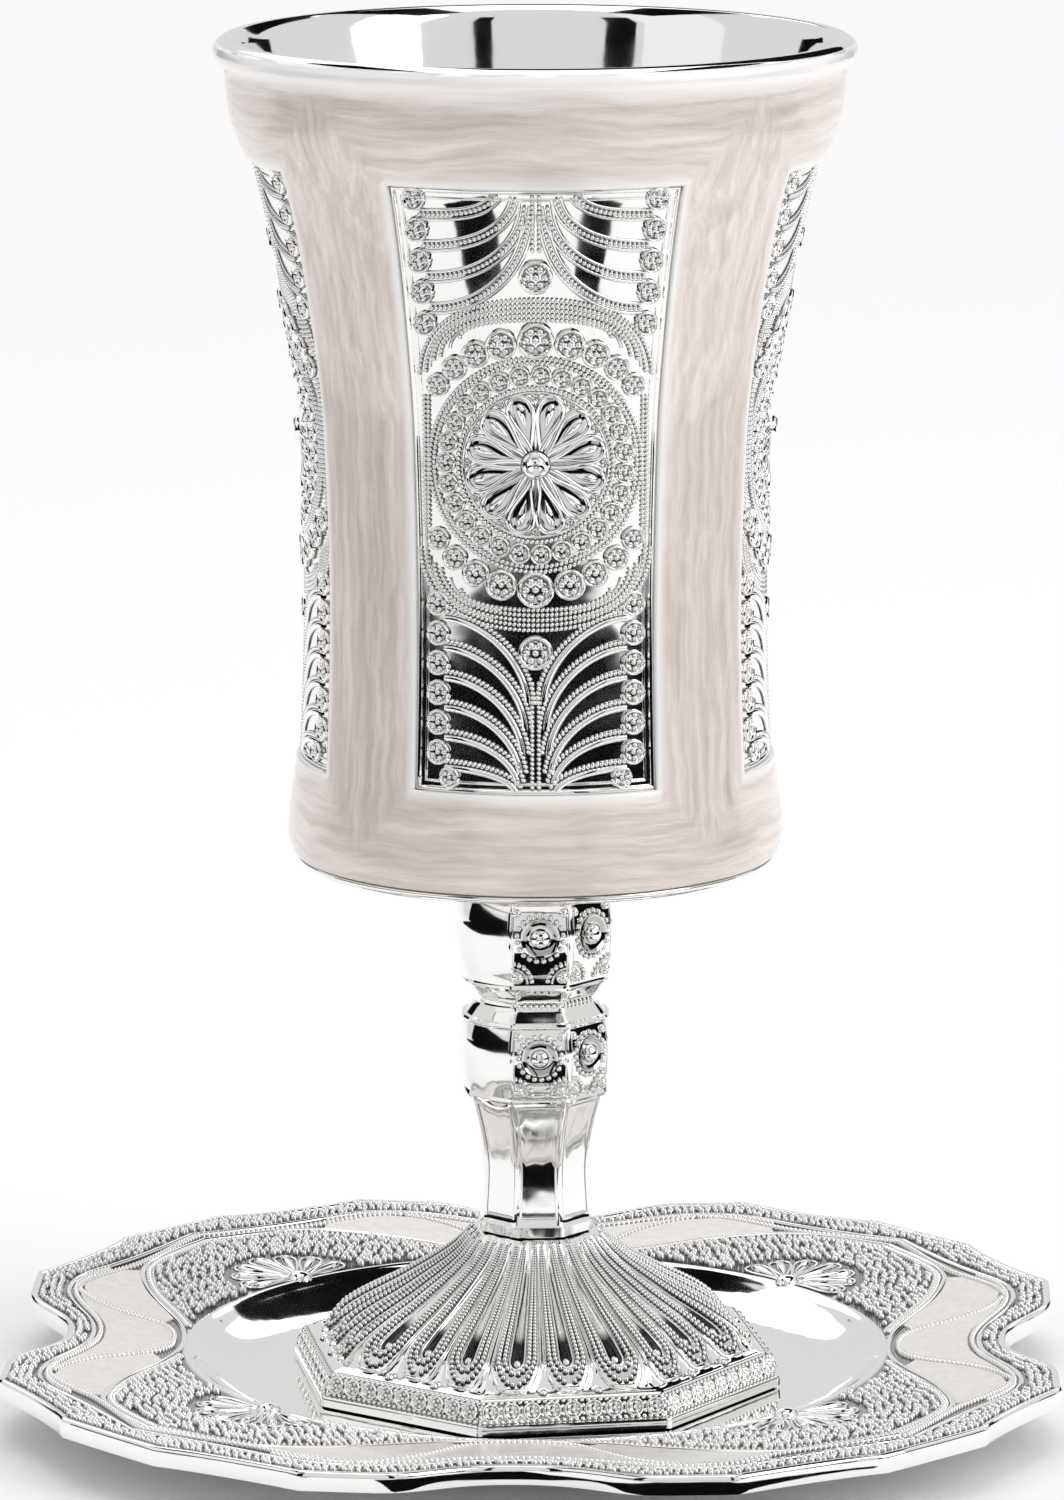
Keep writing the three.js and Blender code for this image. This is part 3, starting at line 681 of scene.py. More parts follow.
def medallion(bm):
    """Twelve petals round a hub, and a ring of roundels between cords."""
    petals, tips_r = 12, 8.75
    ring, ring_r = 27, 11.4
    roundel(bm, HUB, 0, 0, 1.75, 1.1)
    outlines = []
    for i in range(petals):
        turn = about_z((i + 0.5) * TAU / petals)
        PETAL_GROUND.onto(bm, turn @ moved(5.7, 0) @ scaled(3.1, 1.5, 0.12))
        PETAL.onto(bm, turn @ moved(6.3, 0) @ scaled(1.9, 0.72, 0.8))
        outlines.append(petal_loop(turn, (1.9, 0.1), (4.0, 0.35), 5.6, (7.3, 1.6), 8))
        roundel(bm, ROUNDEL, *around(tips_r, i * TAU / petals), 0.62, 0.6)
    wires(bm, outlines, 0.34, 2)
    for radius, pitch, height in ((9.8, 0.6, 0.6), (12.95, 0.62, 0.6), (13.6, 0.62, 0.55)):
        rope(bm, circle(radius), pitch, 0.66, height)
    for i in range(ring):
        roundel(bm, ROUNDEL, *around(ring_r, (i + 0.5) * TAU / ring), 1.38, 0.85)


def crests(bm):
    """The crescents over and under the medallion with their roundels; returns the wires between the cords."""
    crest_r = 15.85
    strips = []
    for side in (1, -1):
        arcs = crest_arcs()
        for path in arcs:
            for half in (path, mirrored(path)):
                rope(bm, [(u, v * side) for u, v in half], 0.58, 0.6, 0.6)
        for inner, outer in ((arcs[2], arcs[1]), (arcs[4], arcs[3])):
            lens = [((a[0] + b[0]) / 2, side * (a[1] + b[1]) / 2) for a, b in zip(inner[6:], outer[6:])]
            strips += [lens, mirrored(lens)]
        for degrees, radius in ((0, 2.35), (15.6, 2.0), (28.2, 1.8), (40.2, 1.65), (51.8, 1.55)):
            for turn in (degrees, -degrees) if degrees else (0,):
                u, v = around(crest_r, math.radians(90 - turn))
                roundel(bm, ROSETTE, u, side * v, radius, radius * 0.5)
        roundel(bm, ROSETTE, 0, 23.9 * side, 2.2, 1.0)
    return strips


def ribs(bm):
    """Cords of the ribs at both ends; returns the thin wires and the broad bands beside them."""
    strips, bands = [], []
    upper, lower = rib_paths()
    for path in upper:
        for side, half in ((1, path), (-1, mirrored(path))):
            bead_row(bm, half, 0.62, 0.68, 0.62)
            strips += [offset(half, 0.62 * side), offset(half, -0.62 * side)]
    for path in lower:
        for side, half in ((1, path), (-1, mirrored(path))):
            rope(bm, offset(half, 0.34 * side), 0.6, 0.72, 0.62)
            bands.append(offset(half, -0.5 * side))
    return strips, bands


def panel_relief():
    """One relief panel, laid out flat and then bent round the wall on the side of -Y."""
    bm = blank()
    panel_frame(bm)
    medallion(bm)
    strips = [circle(9.2)] + crests(bm)
    lines, bands = ribs(bm)
    wires(bm, strips + lines, 0.24, 1)
    wires(bm, bands, 0.46, 2)
    for u in (0.42, -0.42):
        rope(bm, [(u, -41.2), (u, -27.5)], 0.6, 0.6, 0.6)
        rope(bm, [(u, 27.0), (u, 34.4)], 0.6, 0.6, 0.6)
    for u, v, radius in side_roundels():
        for side in (1, -1):
            roundel(bm, ROUNDEL, u * side, v, radius, 0.85)
    for side in (1, -1):
        for u in (14.3, 13.75):
            rope(bm, [(u * side, -8.5), (u * side, 8.5)], 0.6, 0.56, 0.5)

    for v in bm.verts:
        z = MEDALLION_Z + v.co.y
        ground = ground_radius(z)
        v.co = (*around(ground + v.co.z, -math.pi / 2 + v.co.x / ground), z)
    return bm


finish_piece("bowl", bowl_body(), BOWL_SILVER, ["bowl"], CUP_LIFT)
finish_piece("bowl_enamel", enamel_jacket(), PEARL, ["bowl_enamel"], CUP_LIFT)
panel = panel_relief()
for i, side in enumerate(("front", "right", "back", "left")):
    finish_piece(f"panel_{side}", panel.copy(), CARVED, (), CUP_LIFT, i * TAU / 4)
panel.free()


# Stem: half the distance across the flats, and height above the underside of the foot.
STEM_PROFILE = [
    (0, 19.7), (7.0, 19.7), (7.3, 19.95), (7.3, 21.15), (7.05, 21.4), (6.9, 22.0), (6.78, 24.0),
    (6.64, 26.4), (6.6, 28.4), (6.72, 30.2), (6.95, 31.9), (7.25, 33.5), (7.62, 35.2), (8.0, 36.7),
    (8.25, 37.6), (8.35, 37.9), (8.75, 38.0), (8.9, 38.3), (8.75, 38.6), (8.6, 38.75), (8.95, 40.0),
    (9.2, 41.4), (9.33, 42.8), (9.35, 43.8), (9.28, 45.2), (9.08, 46.6), (8.75, 47.8), (8.9, 47.95),
    (9.0, 48.25), (8.85, 48.55), (8.4, 48.65), (8.1, 49.1), (7.7, 49.7), (7.4, 50.2), (7.3, 50.6),
    (7.4, 51.1), (7.75, 51.7), (8.2, 52.4), (8.55, 52.9), (8.85, 53.0), (9.0, 53.3), (8.85, 53.65),
    (8.85, 53.8), (9.25, 55.0), (9.55, 56.5), (9.72, 58.2), (9.75, 59.6), (9.68, 61.2), (9.45, 62.8),
    (9.05, 64.2), (9.15, 64.35), (9.25, 64.7), (9.1, 65.05), (8.7, 65.15), (8.6, 65.6), (8.6, 68.6),
    (8.5, 68.7), (0, 68.7),
]
FACE = math.pi / 4
HALF_FACE = math.pi / 8
FLAT = math.cos(HALF_FACE)
SHAFT_LOW, SHAFT_HIGH = 22.2, 37.5
SWELL_FROM, SWELL_FULL = 36.5, 39.0
WAIST_Z = 50.6
# Knops: lower end, widest place, upper end and the size of the ornament.
KNOPS = [(53.8, 59.5, 64.2, 1.0), (38.7, 43.6, 47.8, 0.93)]
# Faces are counted from the one towards -Y, turning towards +X.
CARVED_FACES = [0, 1, 4, 5]
PLAIN_FACES = [2, 3, 6, 7]
SMOOTH_SHAFT_FACES = [2, 6]


def stem_apothem(z):
    """Half the distance across the flats at a height."""
    for (a0, z0), (a1, z1) in zip(STEM_PROFILE[1:-1], STEM_PROFILE[2:-1]):
        if z0 <= z <= z1 and z1 > z0:
            return a0 + (a1 - a0) * (z - z0) / (z1 - z0)
    return STEM_PROFILE[1][0]


def stem_body():
    """Eight-sided, five steps to a side; the plain sides of the knops swell out to a round."""
    bm = bmesh.new()
    turned(bm, [(a / FLAT, z) for a, z in STEM_PROFILE], 40)
    bmesh.ops.rotate(bm, verts=bm.verts, cent=(0, 0, 0), matrix=Matrix.Rotation(HALF_FACE, 3, "Z"))
    for v in bm.verts:
        r = v.co.xy.length
        if r > 0.1:
            turn = (math.atan2(v.co.y, v.co.x) + math.pi / 2) / FACE
            side = round(turn)
            flat = r * FLAT / math.cos((turn - side) * FACE)
            swell = 0.95 * smooth(SWELL_FROM, SWELL_FULL, v.co.z) if side % 8 in PLAIN_FACES else 0
            v.co.xy *= (flat + (r - flat) * swell) / r
    arrises = []
    for edge in bm.edges:
        a, b = (v.co for v in edge.verts)
        corner = math.degrees(math.atan2(a.y, a.x)) % 45
        if min(a.xy.length, b.xy.length) > 1 and abs(a.xy.angle_signed(b.xy)) < 0.01:
            if abs(corner - 22.5) < 0.5:
                arrises.append(edge)
    round_edges(bm, arrises, 0.3, 2)
    soften(bm, 0.6)
    return bm


def stem_face(bm):
    """A flat layout laid onto the front face of the stem."""
    for v in bm.verts:
        v.co = (v.co.x, -(stem_apothem(v.co.y) + v.co.z), v.co.y)
    return Stamp(bm)


def face_edge(low, high, steps, inset, side):
    """A line up the front face, inset from its corner."""
    heights = [low] + steps_to(low, high, steps)
    return [(side * (stem_apothem(z) * math.tan(HALF_FACE) - inset), z) for z in heights]


def knop_face():
    """A carved face of both knops: beaded ring and boss, scallops below, raised edges."""
    bm = blank()
    strips = []
    for low, belly, high, scale in KNOPS:
        centre = belly + 0.6
        bead_row(bm, arc((0, centre), 3.0 * scale, 0, 360, 48), 0.92, 0.84, 0.5)
        strips.append(arc((0, centre), 2.45 * scale, 0, 360, 36))
        roundel(bm, DISH, 0, centre, 2.5 * scale, 1)
        roundel(bm, BALL, 0, centre, 1.4 * scale, 1.1 * scale)
        for side in (1, -1):
            corner = (3.75 * scale * side, low + 0.2)
            sweep = (90, 180) if side > 0 else (90, 0)
            bead_row(bm, arc(corner, 2.75 * scale, *sweep, 16), 0.72, 0.7, 0.5)
            strips.append(arc(corner, 2.15 * scale, *sweep, 16))
            roundel(bm, BALL, 2.9 * scale * side, low + 1.05, 0.85 * scale, 0.85)
            roundel(bm, BALL, 3.0 * scale * side, high - 0.8, 0.6 * scale, 0.5)
            strips.append(face_edge(low + 0.25, high - 0.15, 16, 0.42, side))
    wires(bm, strips, 0.17, 1)
    return stem_face(bm)


def shaft_face():
    """Raised edges round a face of the shaft, and the beads of the waist above it."""
    bm = blank()
    edges = [face_edge(SHAFT_LOW, SHAFT_HIGH, 24, 0.5, side) for side in (1, -1)]
    for (half, _), z in ((edges[0][0], SHAFT_LOW + 0.2), (edges[0][-1], SHAFT_HIGH - 0.2)):
        edges.append([(half * (1 - i / 4), z) for i in range(9)])
    wires(bm, edges, 0.2, 1)
    bead_row(bm, [(-3.0, WAIST_Z), (3.0, WAIST_Z)], 0.75, 0.72, 0.4)
    return stem_face(bm)


def stem_relief():
    knops = knop_face()
    shaft = shaft_face()
    bm = blank()
    for k in range(8):
        turn = about_z(k * FACE)
        if k not in SMOOTH_SHAFT_FACES:
            shaft.onto(bm, turn)
        if k in CARVED_FACES:
            knops.onto(bm, turn)
    return bm


# Foot: an octagon whose eight faces sweep up to the stem, three tongues to a face.
NECK_R, NECK_Z = 8.3, 19.6
LEDGE_R, LEDGE_Z = 29.4, 4.55
foot_height = station_curve([(NECK_Z, NECK_R), (16.6, 11.2), (12.6, 17.4), (7.2, 26.6), (4.9, 28.6)])
# Border of roundels: radius at the corners and height of its lower and upper edge.
BORDER_LOW, BORDER_HIGH = (31.75, 1.75), (30.95, 4.0)
BORDER_ROUNDELS, BORDER_GRAINS = 9, 30
TONGUES = 24
TONGUE_HALF = math.pi / TONGUES
TONGUE_BEND = 25.4
TONGUE_ROUND = 4.3
GROOVE_DEPTH, SIDE_HEIGHT, VALLEY_DEPTH = 0.65, 0.35, 0.4
BEAD_ROWS = (0.7, 0.48)


def octagon(angle):
    """Distance to the outline of a unit octagon with a face towards -Y."""
    return FLAT / math.cos((angle + HALF_FACE) % FACE - HALF_FACE)


def across_tongue(angle, r):
    """0 on the middle line of a tongue and 1 on its edge, also round its end."""
    q = abs((angle + math.pi / 2 + TONGUE_HALF) % (2 * TONGUE_HALF) / TONGUE_HALF - 1)
    return math.hypot(q, max(r - TONGUE_BEND, 0) / TONGUE_ROUND)


def flute(angle, r):
    """Height over the sweep: a tongue has raised sides, a groove down its middle and a valley beside it."""
    q = across_tongue(angle, r)
    groove = -GROOVE_DEPTH * (1 - smooth(0.12, 0.32, q))
    sides = SIDE_HEIGHT * smooth(0.28, 0.42, q) * (1 - smooth(0.82, 0.97, q))
    valley = -VALLEY_DEPTH * smooth(0.86, 1, q) * (1 - smooth(28.4, LEDGE_R, r))
    return smooth(8.2, 11, r) * (groove + sides + valley)


def flute_shade(angle, r):
    """Painted shade on the fluted face: dark between the bead rows, at the groove's end and along the valley.
    """
    q = across_tongue(angle, r)
    rows = 0.95 * smooth(0.34, 0.42, q) * (1 - smooth(0.8, 0.88, q)) * smooth(9.5, 13, r)
    rows *= 1 - 0.65 * smooth(TONGUE_BEND - 1, TONGUE_BEND + 2, r)
    groove = (1 - smooth(0.26, 0.36, q)) * smooth(19.5, 23, r)
    valley = 0.65 * smooth(0.93, 1, q) * (1 - smooth(25, 27, r)) * smooth(10, 14, r)
    return max(rows, groove, valley)


def foot_point(angle, r):
    return Vector((*around(r * octagon(angle), angle), foot_height(r) + flute(angle, r)))


def on_foot(angle, r, h=0.0):
    """A point h above the swept surface."""
    here = foot_point(angle, r)
    normal = (foot_point(angle, r + 0.05) - here).cross(foot_point(angle + 0.004, r) - here)
    normal.normalize()
    return here + normal * (h if normal.z > 0 else -h)


def foot_body():
    """Spun in fine steps, fluted from the ledge up to the neck, then drawn in to the octagon."""
    hollow = [(0, 14.6), (9, 13.4), (15, 10.2), (21, 6.9), (24.2, 4.4), (25.6, 1.6), (25.8, 0)]
    plinth = [(32.3, 0), (32.55, 0.12), (32.6, 0.35), (32.6, 1.2), (32.45, 1.42), (32.1, 1.5)]
    border = [(31.8, 1.55), BORDER_LOW, BORDER_HIGH, (30.75, 4.35), (30.4, 4.5), (29.9, LEDGE_Z)]
    sweep = [(r, foot_height(r)) for r in [LEDGE_R] + steps_to(LEDGE_R, NECK_R, 60)]
    bm = blank()
    turned(bm, hollow + plinth + border + sweep + [(0, NECK_Z)], 384)
    painted_shade = bm.verts.layers.float["painted_shade"]
    for v in bm.verts:
        r = v.co.xy.length
        if r < 0.1:
            continue
        angle = math.atan2(v.co.y, v.co.x)
        if v.co.z > LEDGE_Z and abs(v.co.z - foot_height(r)) < 0.01:
            v.co.z += flute(angle, r)
            # painted shade on the fluted face
            v[painted_shade] = flute_shade(angle, r)
        v.co.xy *= octagon(angle)
    soften(bm, 0.65)
    return bm


def tongue_path(q, start, steps):
    """Half of a tongue's outline at fraction q of its width, from the neck to the round end."""
    path = [(q, start + (TONGUE_BEND - start) * i / steps) for i in range(steps)]
    for i in range(13):
        a = math.radians(90 * i / 12)
        path.append((q * math.cos(a), TONGUE_BEND + q * TONGUE_ROUND * math.sin(a)))
    return path


def bead_tongue(bm, centre):
    """Bead rows of one tongue and the ball in its groove; returns its edge wires."""

    def at(q, r, h=0.0):
        return on_foot(centre + q * TONGUE_HALF, r, h)

    strips = []
    for side in (1, -1):
        strips.append([at(q * side, r, 0.08) for q, r in tongue_path(0.9, 8.7, 22)])
        strips.append([at(q * side, r, 0.05) for q, r in tongue_path(0.31, 9.2, 22)])
        for q in BEAD_ROWS:
            path = tongue_path(q, 9.0, 44)
            travelled, due = 0.0, 0.0
            for (q0, r0), (q1, r1) in zip(path, path[1:]):
                length = (at(q1 * side, r1) - at(q0 * side, r0)).length
                while due < travelled + length:
                    t = (due - travelled) / length
                    r = r0 + (r1 - r0) * t
                    size = 0.012 * r + 0.08
                    spot = at((q0 + (q1 - q0) * t) * side, r)
                    GRAIN.onto(bm, moved(*spot) @ scaled(size, size, size * 1.5))
                    due += 0.022 * r + 0.14
                travelled += length
    BALL.onto(bm, moved(*at(0, TONGUE_BEND + 0.1)) @ scaled(0.62, 0.62, 0.75))
    return strips


def border_band(bm):
    """The front face of the border: roundels, grains between them and a row of grains along both edges."""
    low, high = (Vector((0, -r * FLAT, z)) for r, z in (BORDER_LOW, BORDER_HIGH))
    along = Vector((1, 0, 0))
    rise = (high - low).normalized()
    lie = Matrix((along, rise, along.cross(rise))).transposed().to_4x4()
    corner_r = 31.3
    width = 2 * corner_r * math.sin(HALF_FACE)

    def lay(stamp, share, up, size):
        """A stamp at a share of the width from the middle and a share of the height."""
        spot = low.lerp(high, up) + along * (share * width)
        stamp.onto(bm, moved(*spot) @ lie @ scaled(*size))

    for i in range(BORDER_ROUNDELS):
        middle = i + 0.5 - BORDER_ROUNDELS / 2
        lay(ROUNDEL, middle / BORDER_ROUNDELS, 0.5, (1.18, 1.18, 0.9))
        for up in (0.3, 0.7):
            lay(GRAIN, (middle - 0.5) / BORDER_ROUNDELS, up, (0.36, 0.36, 0.5))
    for up in (0.0, 1.0):
        for i in range(BORDER_GRAINS):
            lay(GRAIN, (i + 0.5) / BORDER_GRAINS - 0.5, up, (0.38, 0.32, 0.42))


def foot_relief():
    """Three beaded tongues and a stretch of the border on one face, repeated on all eight."""
    bm = blank()
    strips = []
    for middle in (-1, 0, 1):
        centre = -math.pi / 2 + middle * 2 * TONGUE_HALF
        strips += bead_tongue(bm, centre)
        if middle < 1:
            valley = centre + TONGUE_HALF
            PETAL.onto(bm, moved(*on_foot(valley, 28.9)) @ about_z(valley) @ scaled(1.3, 0.75, 0.7))
    wires(bm, strips, 0.2, 1)
    border_band(bm)
    copies(bm, 8)
    return bm


finish_piece("stem", stem_body(), SILVER, ["stem"], CUP_LIFT, STEM_TURN)
finish_piece("stem_relief", stem_relief(), CARVED, (), CUP_LIFT, STEM_TURN)
finish_piece("foot", foot_body(), SILVER, ["foot"], CUP_LIFT, FOOT_TURN)
finish_piece("foot_relief", foot_relief(), CARVED, (), CUP_LIFT, FOOT_TURN)


# Tray: points are (side, out) from the notch on +Y towards the corner beside it.
NOTCH = [(0, 61.5), (9, 61.5), (11, 68), (18, 68)]
LOBE_SIDE = [(27, 68), (31, 65), (40, 59.5), (45.5, 58)]
WELL_R, WELL_Z, RIM_SLOPE = 45.1, 6.05, 0.075
WELL_EDGE_R = 46.3
# Drop of the rim's ground, and the strength of the shade painted on it and round the edge of the well.
RIM_GROUND, GROUND_SHADE = -0.3, 0.65
PALMETTE_R = 46.4
OUTER_WIRE = bezier((0, 58), (9, 58), (13, 63), (21, 63), 16)
OUTER_WIRE += bezier((21, 63), (27, 63), (30, 60), (32.4, 58.4), 8)[1:]
OUTER_WIRE += bezier((32.4, 58.4), (36.6, 55.4), (42, 52.4), (48.8, 48.8), 12)[1:]
CELL_CORD = bezier((0, 47.4), (10.5, 47.0), (8, 57.5), (20, 61.4), 28)
WING_CORD = bezier((20.4, 61.8), (25.8, 61.6), (29.4, 57.4), (33.4, 54.9), 14)
WING_CORD += bezier((33.4, 54.9), (38, 52.4), (42, 50.9), (48, 48), 12)[1:]
INNER_WIRE = bezier((0, 46.1), (12, 46.1), (17, 53), (31, 54.0), 24)
INNER_WIRE += bezier((31, 54.0), (36, 54.0), (41, 50.6), (46.9, 46.9), 14)[1:]


def rim_z(r):
    return WELL_Z + RIM_SLOPE * (r - WELL_R)


def tray_outline():
    octant = bezier(*NOTCH, 14) + [(20, 68), (22.5, 68), (25, 68)] + bezier(*LOBE_SIDE, 10)
    corner = [(48.6, 54.9), (51.75, 51.75), (54.9, 48.6)]
    quarter = octant + corner + [(y, x) for x, y in octant[:0:-1]]
    points = []
    for k in range(4):
        turn = Matrix.Rotation(k * TAU / 4, 2)
        points += [turn @ Vector(p) for p in quarter]
    return sorted(points, key=lambda p: math.atan2(p.y, p.x) % TAU)


def tray_body():
    """Spun with one step to each outline point; the levels of the edge are then drawn out to the outline.
    Shade is painted on the rim's ground and round the edge of the well.
    """
    outline = tray_outline()
    edge = [(2.0, -2.0), (1.75, -2.5), (1.4, -2.6), (0.3, -2.6), (0.08, -2.5), (0, -2.25), (0, -0.5)]
    edge += [(0.1, -0.2), (0.38, 0), (0.9, 0), (1.12, -0.1), (1.22, RIM_GROUND)]
    under = [(0, 0), (33.2, 0), (34, 0.1), (36, 0.55), (40, 2.0), (43.6, 3.6), (45.6, 4.1)]
    well = [(WELL_EDGE_R, 5.84), (45.75, 6.02), (45.3, 5.98), (44.9, 5.75), (44.2, 5.2), (43.1, 4.3)]
    well += [(41.7, 3.5), (39.8, 2.78), (37.6, 2.34), (35.5, 2.2), (20, 2.2), (0, 2.2)]
    ground_rings = 4
    tag = 100  # the levels of the edge are spun at radii from here on, which tells them apart
    levels = [(tag + i, 0.1 * i) for i in range(len(edge) + ground_rings)]
    bm = blank()
    turned(bm, under + levels + well, len(outline))
    painted_shade = bm.verts.layers.float["painted_shade"]
    step = TAU / len(outline)
    last = len(edge) - 1
    for v in bm.verts:
        r = v.co.xy.length
        if r < 0.1:
            continue
        level = round(r) - tag
        k = round(math.atan2(v.co.y, v.co.x) % TAU / step) % len(outline)
        p = outline[k]
        if level < 0:
            v[painted_shade] = GROUND_SHADE if abs(r - WELL_EDGE_R) < 0.05 else 0.0
            v.co.xy = p.normalized() * r
            continue
        v[painted_shade] = GROUND_SHADE if level >= last else 0.0
        along = outline[(k + 1) % len(outline)] - outline[k - 1]
        inward = Vector((-along.y, along.x)).normalized()
        inset, drop = edge[min(level, last)]
        spot = p + inward * inset
        if level > last:
            spot = spot.lerp(p.normalized() * WELL_EDGE_R, (level - last) / (ground_rings + 1))
        v.co = (spot.x, spot.y, rim_z(spot.length) + drop)
    bmesh.ops.recalc_face_normals(bm, faces=bm.faces)
    soften(bm, 0.7)
    return bm


def polar(path):
    """Radius as a function of the angle from +Y, read along a path that runs outwards in angle."""
    table = [(math.atan2(x, y), math.hypot(x, y)) for x, y in path]

    def radius(angle):
        for (a0, r0), (a1, r1) in zip(table, table[1:]):
            if angle <= a1:
                return r0 + (r1 - r0) * max(angle - a0, 0) / max(a1 - a0, 1e-9)
        return table[-1][1]

    return radius


def drape(bm):
    """Lay flat ornament on the sloping rim."""
    for v in bm.verts:
        v.co.z += rim_z(v.co.xy.length) + RIM_GROUND


def tray_cords():
    """Wires and cords of the rim, and the half palmettes at the corners."""
    bm = blank()
    wires(bm, [OUTER_WIRE, mirrored(OUTER_WIRE), INNER_WIRE, mirrored(INNER_WIRE)], 0.42, 2)
    guard = offset(OUTER_WIRE[:24], -0.95)
    for path in (CELL_CORD, WING_CORD, guard):
        rope(bm, path, 0.72, 0.8, 0.75)
        rope(bm, mirrored(path), 0.72, 0.8, 0.75)
    hub = about_z(-math.pi / 4) @ moved(0, PALMETTE_R)
    outlines = []
    for i in range(-3, 4):
        place = hub @ about_z(math.radians(90 + 26 * i))
        length = 8.7 - 0.25 * abs(i)
        PETAL.onto(bm, place @ moved(1.4 + length / 2, 0) @ scaled(length / 2 - 0.5, 0.85, 0.85))
        end = (length - 0.4, 1.45)
        outlines.append(petal_loop(place, (1.6, 0.2), (4.0, 0.3), length - 2.8, end, 7))
    wires(bm, outlines, 0.26, 1)
    BALL.onto(bm, hub @ scaled(1.7, 1.7, 1.1))
    drape(bm)
    copies(bm, 4)
    return bm


def border_places(chance):
    """Places and sizes of the grains between the outer wire and the edge, from a notch to a corner."""
    limit = polar(OUTER_WIRE)
    rim = [tuple(p) for p in tray_outline() if p.y > 0 and 0 <= math.atan2(p.x, p.y) <= math.pi / 4 + 1e-6]
    rim.sort(key=lambda p: math.atan2(*p))
    jitter, rows, inset, row_pitch, pitch = 0.22, 6, 1.85, 0.98, 1.02
    places = []
    for i in range(rows):
        for x, y, _ in spaced(offset(rim, -inset - row_pitch * i), pitch):
            x, y = x + chance.uniform(-jitter, jitter), y + chance.uniform(-jitter, jitter)
            angle = math.atan2(x, y)
            if 0 < angle < math.pi / 4 and math.hypot(x, y) > limit(angle) + 0.75:
                places.append((x, y, chance.uniform(0.42, 0.6)))
    return places


def fan_places(chance):
    """Places and sizes of the grains in half a corner fan, in arcs round its palmette."""
    inner = polar(INNER_WIRE)
    hub = Vector((PALMETTE_R, PALMETTE_R)) * math.sqrt(0.5)
    jitter, rows, start, row_pitch, pitch = 0.32, 15, 10.9, 1.16, 1.14
    places = []
    for i in range(rows):
        row = start + row_pitch * i
        for k in range(40):
            reach = row + chance.uniform(-jitter, jitter)
            u, v = around(reach, math.pi / 4 + (k + chance.uniform(0.2, 0.8)) * pitch / row)
            x, y = hub.x + u, hub.y + v
            angle = math.atan2(x, y)
            if 0.04 < angle < math.pi / 4 and WELL_EDGE_R + 0.5 < math.hypot(x, y) < inner(angle) - 2.0:
                places.append((x, y, chance.uniform(0.42, 0.68)))
    return places


def tray_grains():
    """Granulation: rows along the border, arcs of grains in the corner fans and a reeded edge."""
    bm = blank()
    chance = random.Random(5)
    for x, y, size in border_places(chance) + fan_places(chance):
        for side in (1, -1):
            GRAIN.onto(bm, moved(x * side, y) @ scaled(size, size, size * 1.5))
    reeds = offset(INNER_WIRE, -1.0)[3:]
    for x, y, heading in spaced(reeds, 0.72):
        if math.hypot(x, y) < WELL_EDGE_R + 0.3 or x > y:
            continue
        for side in (1, -1):
            turn = about_z(heading * side + (0 if side > 0 else math.pi))
            BEAD.onto(bm, moved(x * side, y) @ turn @ scaled(0.32, 0.72, 0.55))
    drape(bm)
    copies(bm, 4)
    return bm


def enamel_cell(loop):
    """A slab of enamel with a softly rounded top edge, set in its cell on the rim."""
    top_z, thickness = 0.32, 0.45
    bm = bmesh.new()
    top = bm.faces.new([bm.verts.new((x, y, top_z)) for x, y in loop])
    made = bmesh.ops.extrude_face_region(bm, geom=[top], use_keep_orig=True)
    low = [v for v in made["geom"] if isinstance(v, bmesh.types.BMVert)]
    bmesh.ops.translate(bm, vec=(0, 0, -thickness), verts=low)
    bmesh.ops.recalc_face_normals(bm, faces=bm.faces)
    round_edges(bm, [e for e in bm.edges if all(v.co.z > 0 for v in e.verts)], 0.22, 2)
    drape(bm)
    return bm


CENTRE_LOOP = CELL_CORD[2:-1] + offset(OUTER_WIRE[:17], -1.5)[::-1][2:-1]
CENTRE_LOOP = mirrored(CENTRE_LOOP)[::-1] + CENTRE_LOOP
WING_LOOP = offset(CELL_CORD, -0.3)[9:-1] + offset(WING_CORD, -0.3)[2:12] + offset(INNER_WIRE, 0.3)[24:7:-1]


finish_piece("tray", tray_body(), SILVER, ["tray"], 0, TRAY_TURN)
finish_piece("tray_cords", tray_cords(), CARVED, (), 0, TRAY_TURN)
finish_piece("tray_grains", tray_grains(), CARVED, (), 0, TRAY_TURN)
for k in range(4):
    for part, loop in (("centre", CENTRE_LOOP), ("right", WING_LOOP), ("left", mirrored(WING_LOOP))):
        name = f"tray_enamel_{k + 1}_{part}"
        finish_piece(name, enamel_cell(loop), TRAY_PEARL, [name], 0, TRAY_TURN + k * TAU / 4)


# Floor, cards and light, in metres.
def card(name, size, place, turn, shade):
    bm = bmesh.new()
    bmesh.ops.create_grid(bm, x_segments=1, y_segments=1, size=0.5)
    mesh = bpy.data.meshes.new(name)
    bm.to_mesh(mesh)
    bm.free()
    material, _, shader = surface(name, (shade, shade, shade), 0, 0.9)
    shader.inputs["Specular IOR Level"].default_value = 0
    mesh.materials.append(material)
    board = bpy.data.objects.new(name, mesh)
    board.scale = (size[0], size[1], 1)
    board.location = place
    board.rotation_euler = [math.radians(a) for a in turn]
    bpy.context.scene.collection.objects.link(board)
    return board


def softbox(name, size, place, aim, power):
    data = bpy.data.lights.new(name, "AREA")
    data.shape = "RECTANGLE"
    data.size, data.size_y = size
    data.energy = power
    lamp = bpy.data.objects.new(name, data)
    lamp.location = place
    lamp.rotation_euler = (Vector(aim) - Vector(place)).to_track_quat("-Z", "Y").to_euler()
    bpy.context.scene.collection.objects.link(lamp)


card("floor", (30, 30), (0, 0, -0.0002), (0, 0, 0), 0.92)
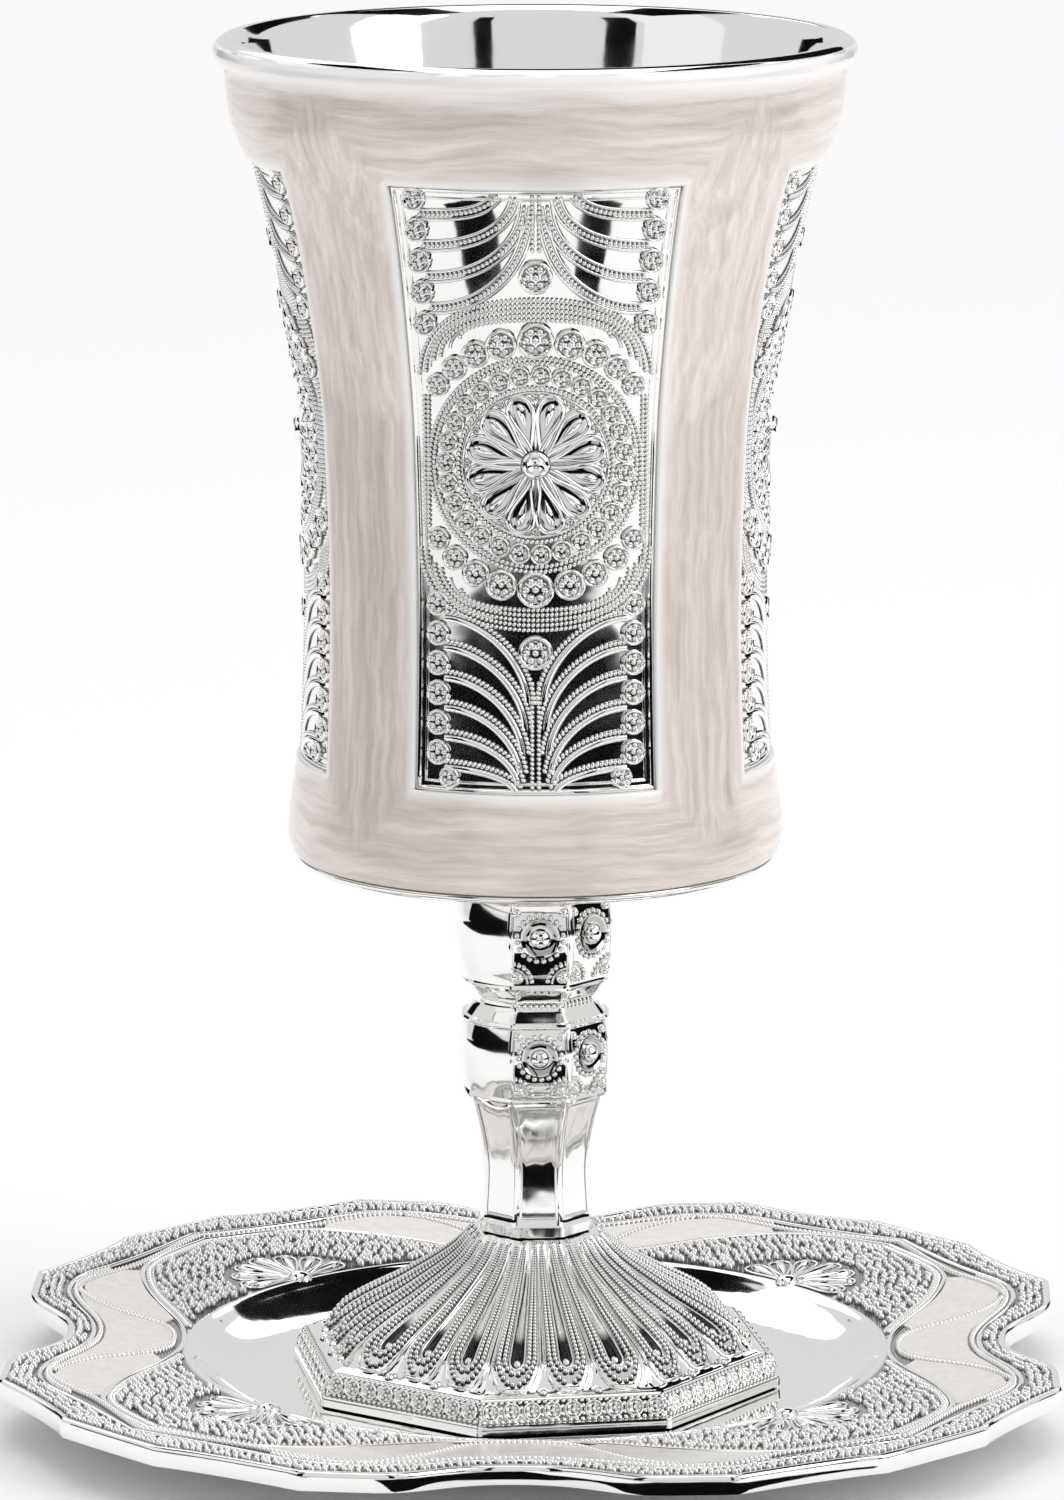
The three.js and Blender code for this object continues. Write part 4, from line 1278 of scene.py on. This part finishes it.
# The black cards show only as reflections: the camera, diffuse light and shadows pass them by.
for name, size, place, turn in (
    ("card_left", (0.3, 1.5), (-0.78, -1.07, 0.6), (90, 0, -36)),
    ("card_right", (0.17, 1.5), (0.5, -1.22, 0.6), (90, 0, 22)),
    ("card_front", (3.0, 1.72), (0, -1.34, 0.001), (0, 0, 0)),
    ("card_floor_left", (1.2, 0.9), (-1.05, -0.15, 0.001), (0, 0, 0)),
    ("card_floor_right", (1.2, 0.9), (1.05, -0.15, 0.001), (0, 0, 0)),
    ("card_near_left", (0.08, 0.1), (-0.115, -0.235, 0.001), (0, 0, 0)),
    ("card_near_right", (0.06, 0.1), (0.115, -0.235, 0.001), (0, 0, 0)),
    ("card_side_left", (1.4, 0.26), (-1.0, -0.35, 0.14), (90, 0, 90)),
    ("card_side_right", (1.4, 0.26), (1.0, -0.35, 0.14), (90, 0, 90)),
    ("card_near_front", (0.07, 0.11), (0.02, -0.126, 0.001), (0, 0, 0)),
    ("card_well", (0.33, 0.27), (0.135, 0.34, 0.4), (-45, 0, 0)),
    ("card_above_left", (0.25, 0.8), (-0.4, 0.1, 0.85), (0, 0, 0)),
    ("card_above_right", (0.25, 0.8), (0.4, 0.1, 0.85), (0, 0, 0)),
    ("card_back_left", (0.5, 0.18), (-0.52, 0.55, 0.2), (90, 0, 0)),
    ("card_back_right", (0.5, 0.18), (0.52, 0.55, 0.2), (90, 0, 0)),
):
    board = card(name, size, place, turn, 0.004)
    board.visible_camera = False
    board.visible_diffuse = False
    board.visible_shadow = False

world = bpy.data.worlds.new("studio")
world.use_nodes = True
world.node_tree.nodes["Background"].inputs["Color"].default_value = (1, 1, 1, 1)
world.node_tree.nodes["Background"].inputs["Strength"].default_value = 0.72
bpy.context.scene.world = world
softbox("light_left", (0.9, 1.2), (-1.1, -0.5, 0.9), (0, 0, 0.1), 0.6)
softbox("light_right", (0.7, 1.2), (1.1, -0.5, 0.8), (0, 0, 0.1), 6)
softbox("light_top", (1.2, 1.2), (0, 0.1, 1.4), (0, 0, 0), 4)
softbox("light_back", (4, 3), (0, 2.8, 2.2), (0, 2.6, 0), 26)

# The camera is fitted to the photo.
camera = bpy.data.cameras.new("camera")
camera.lens = 194.04
camera.sensor_width = 36
camera.clip_end = 20
viewer = bpy.data.objects.new("camera", camera)
viewer.location = (-0.00045, -1.0237, 0.2855)
looks_down = 11.07
viewer.rotation_euler = (math.radians(90 - looks_down), 0, 0)
bpy.context.scene.collection.objects.link(viewer)
bpy.context.scene.camera = viewer
bpy.context.scene.view_settings.view_transform = "Standard"
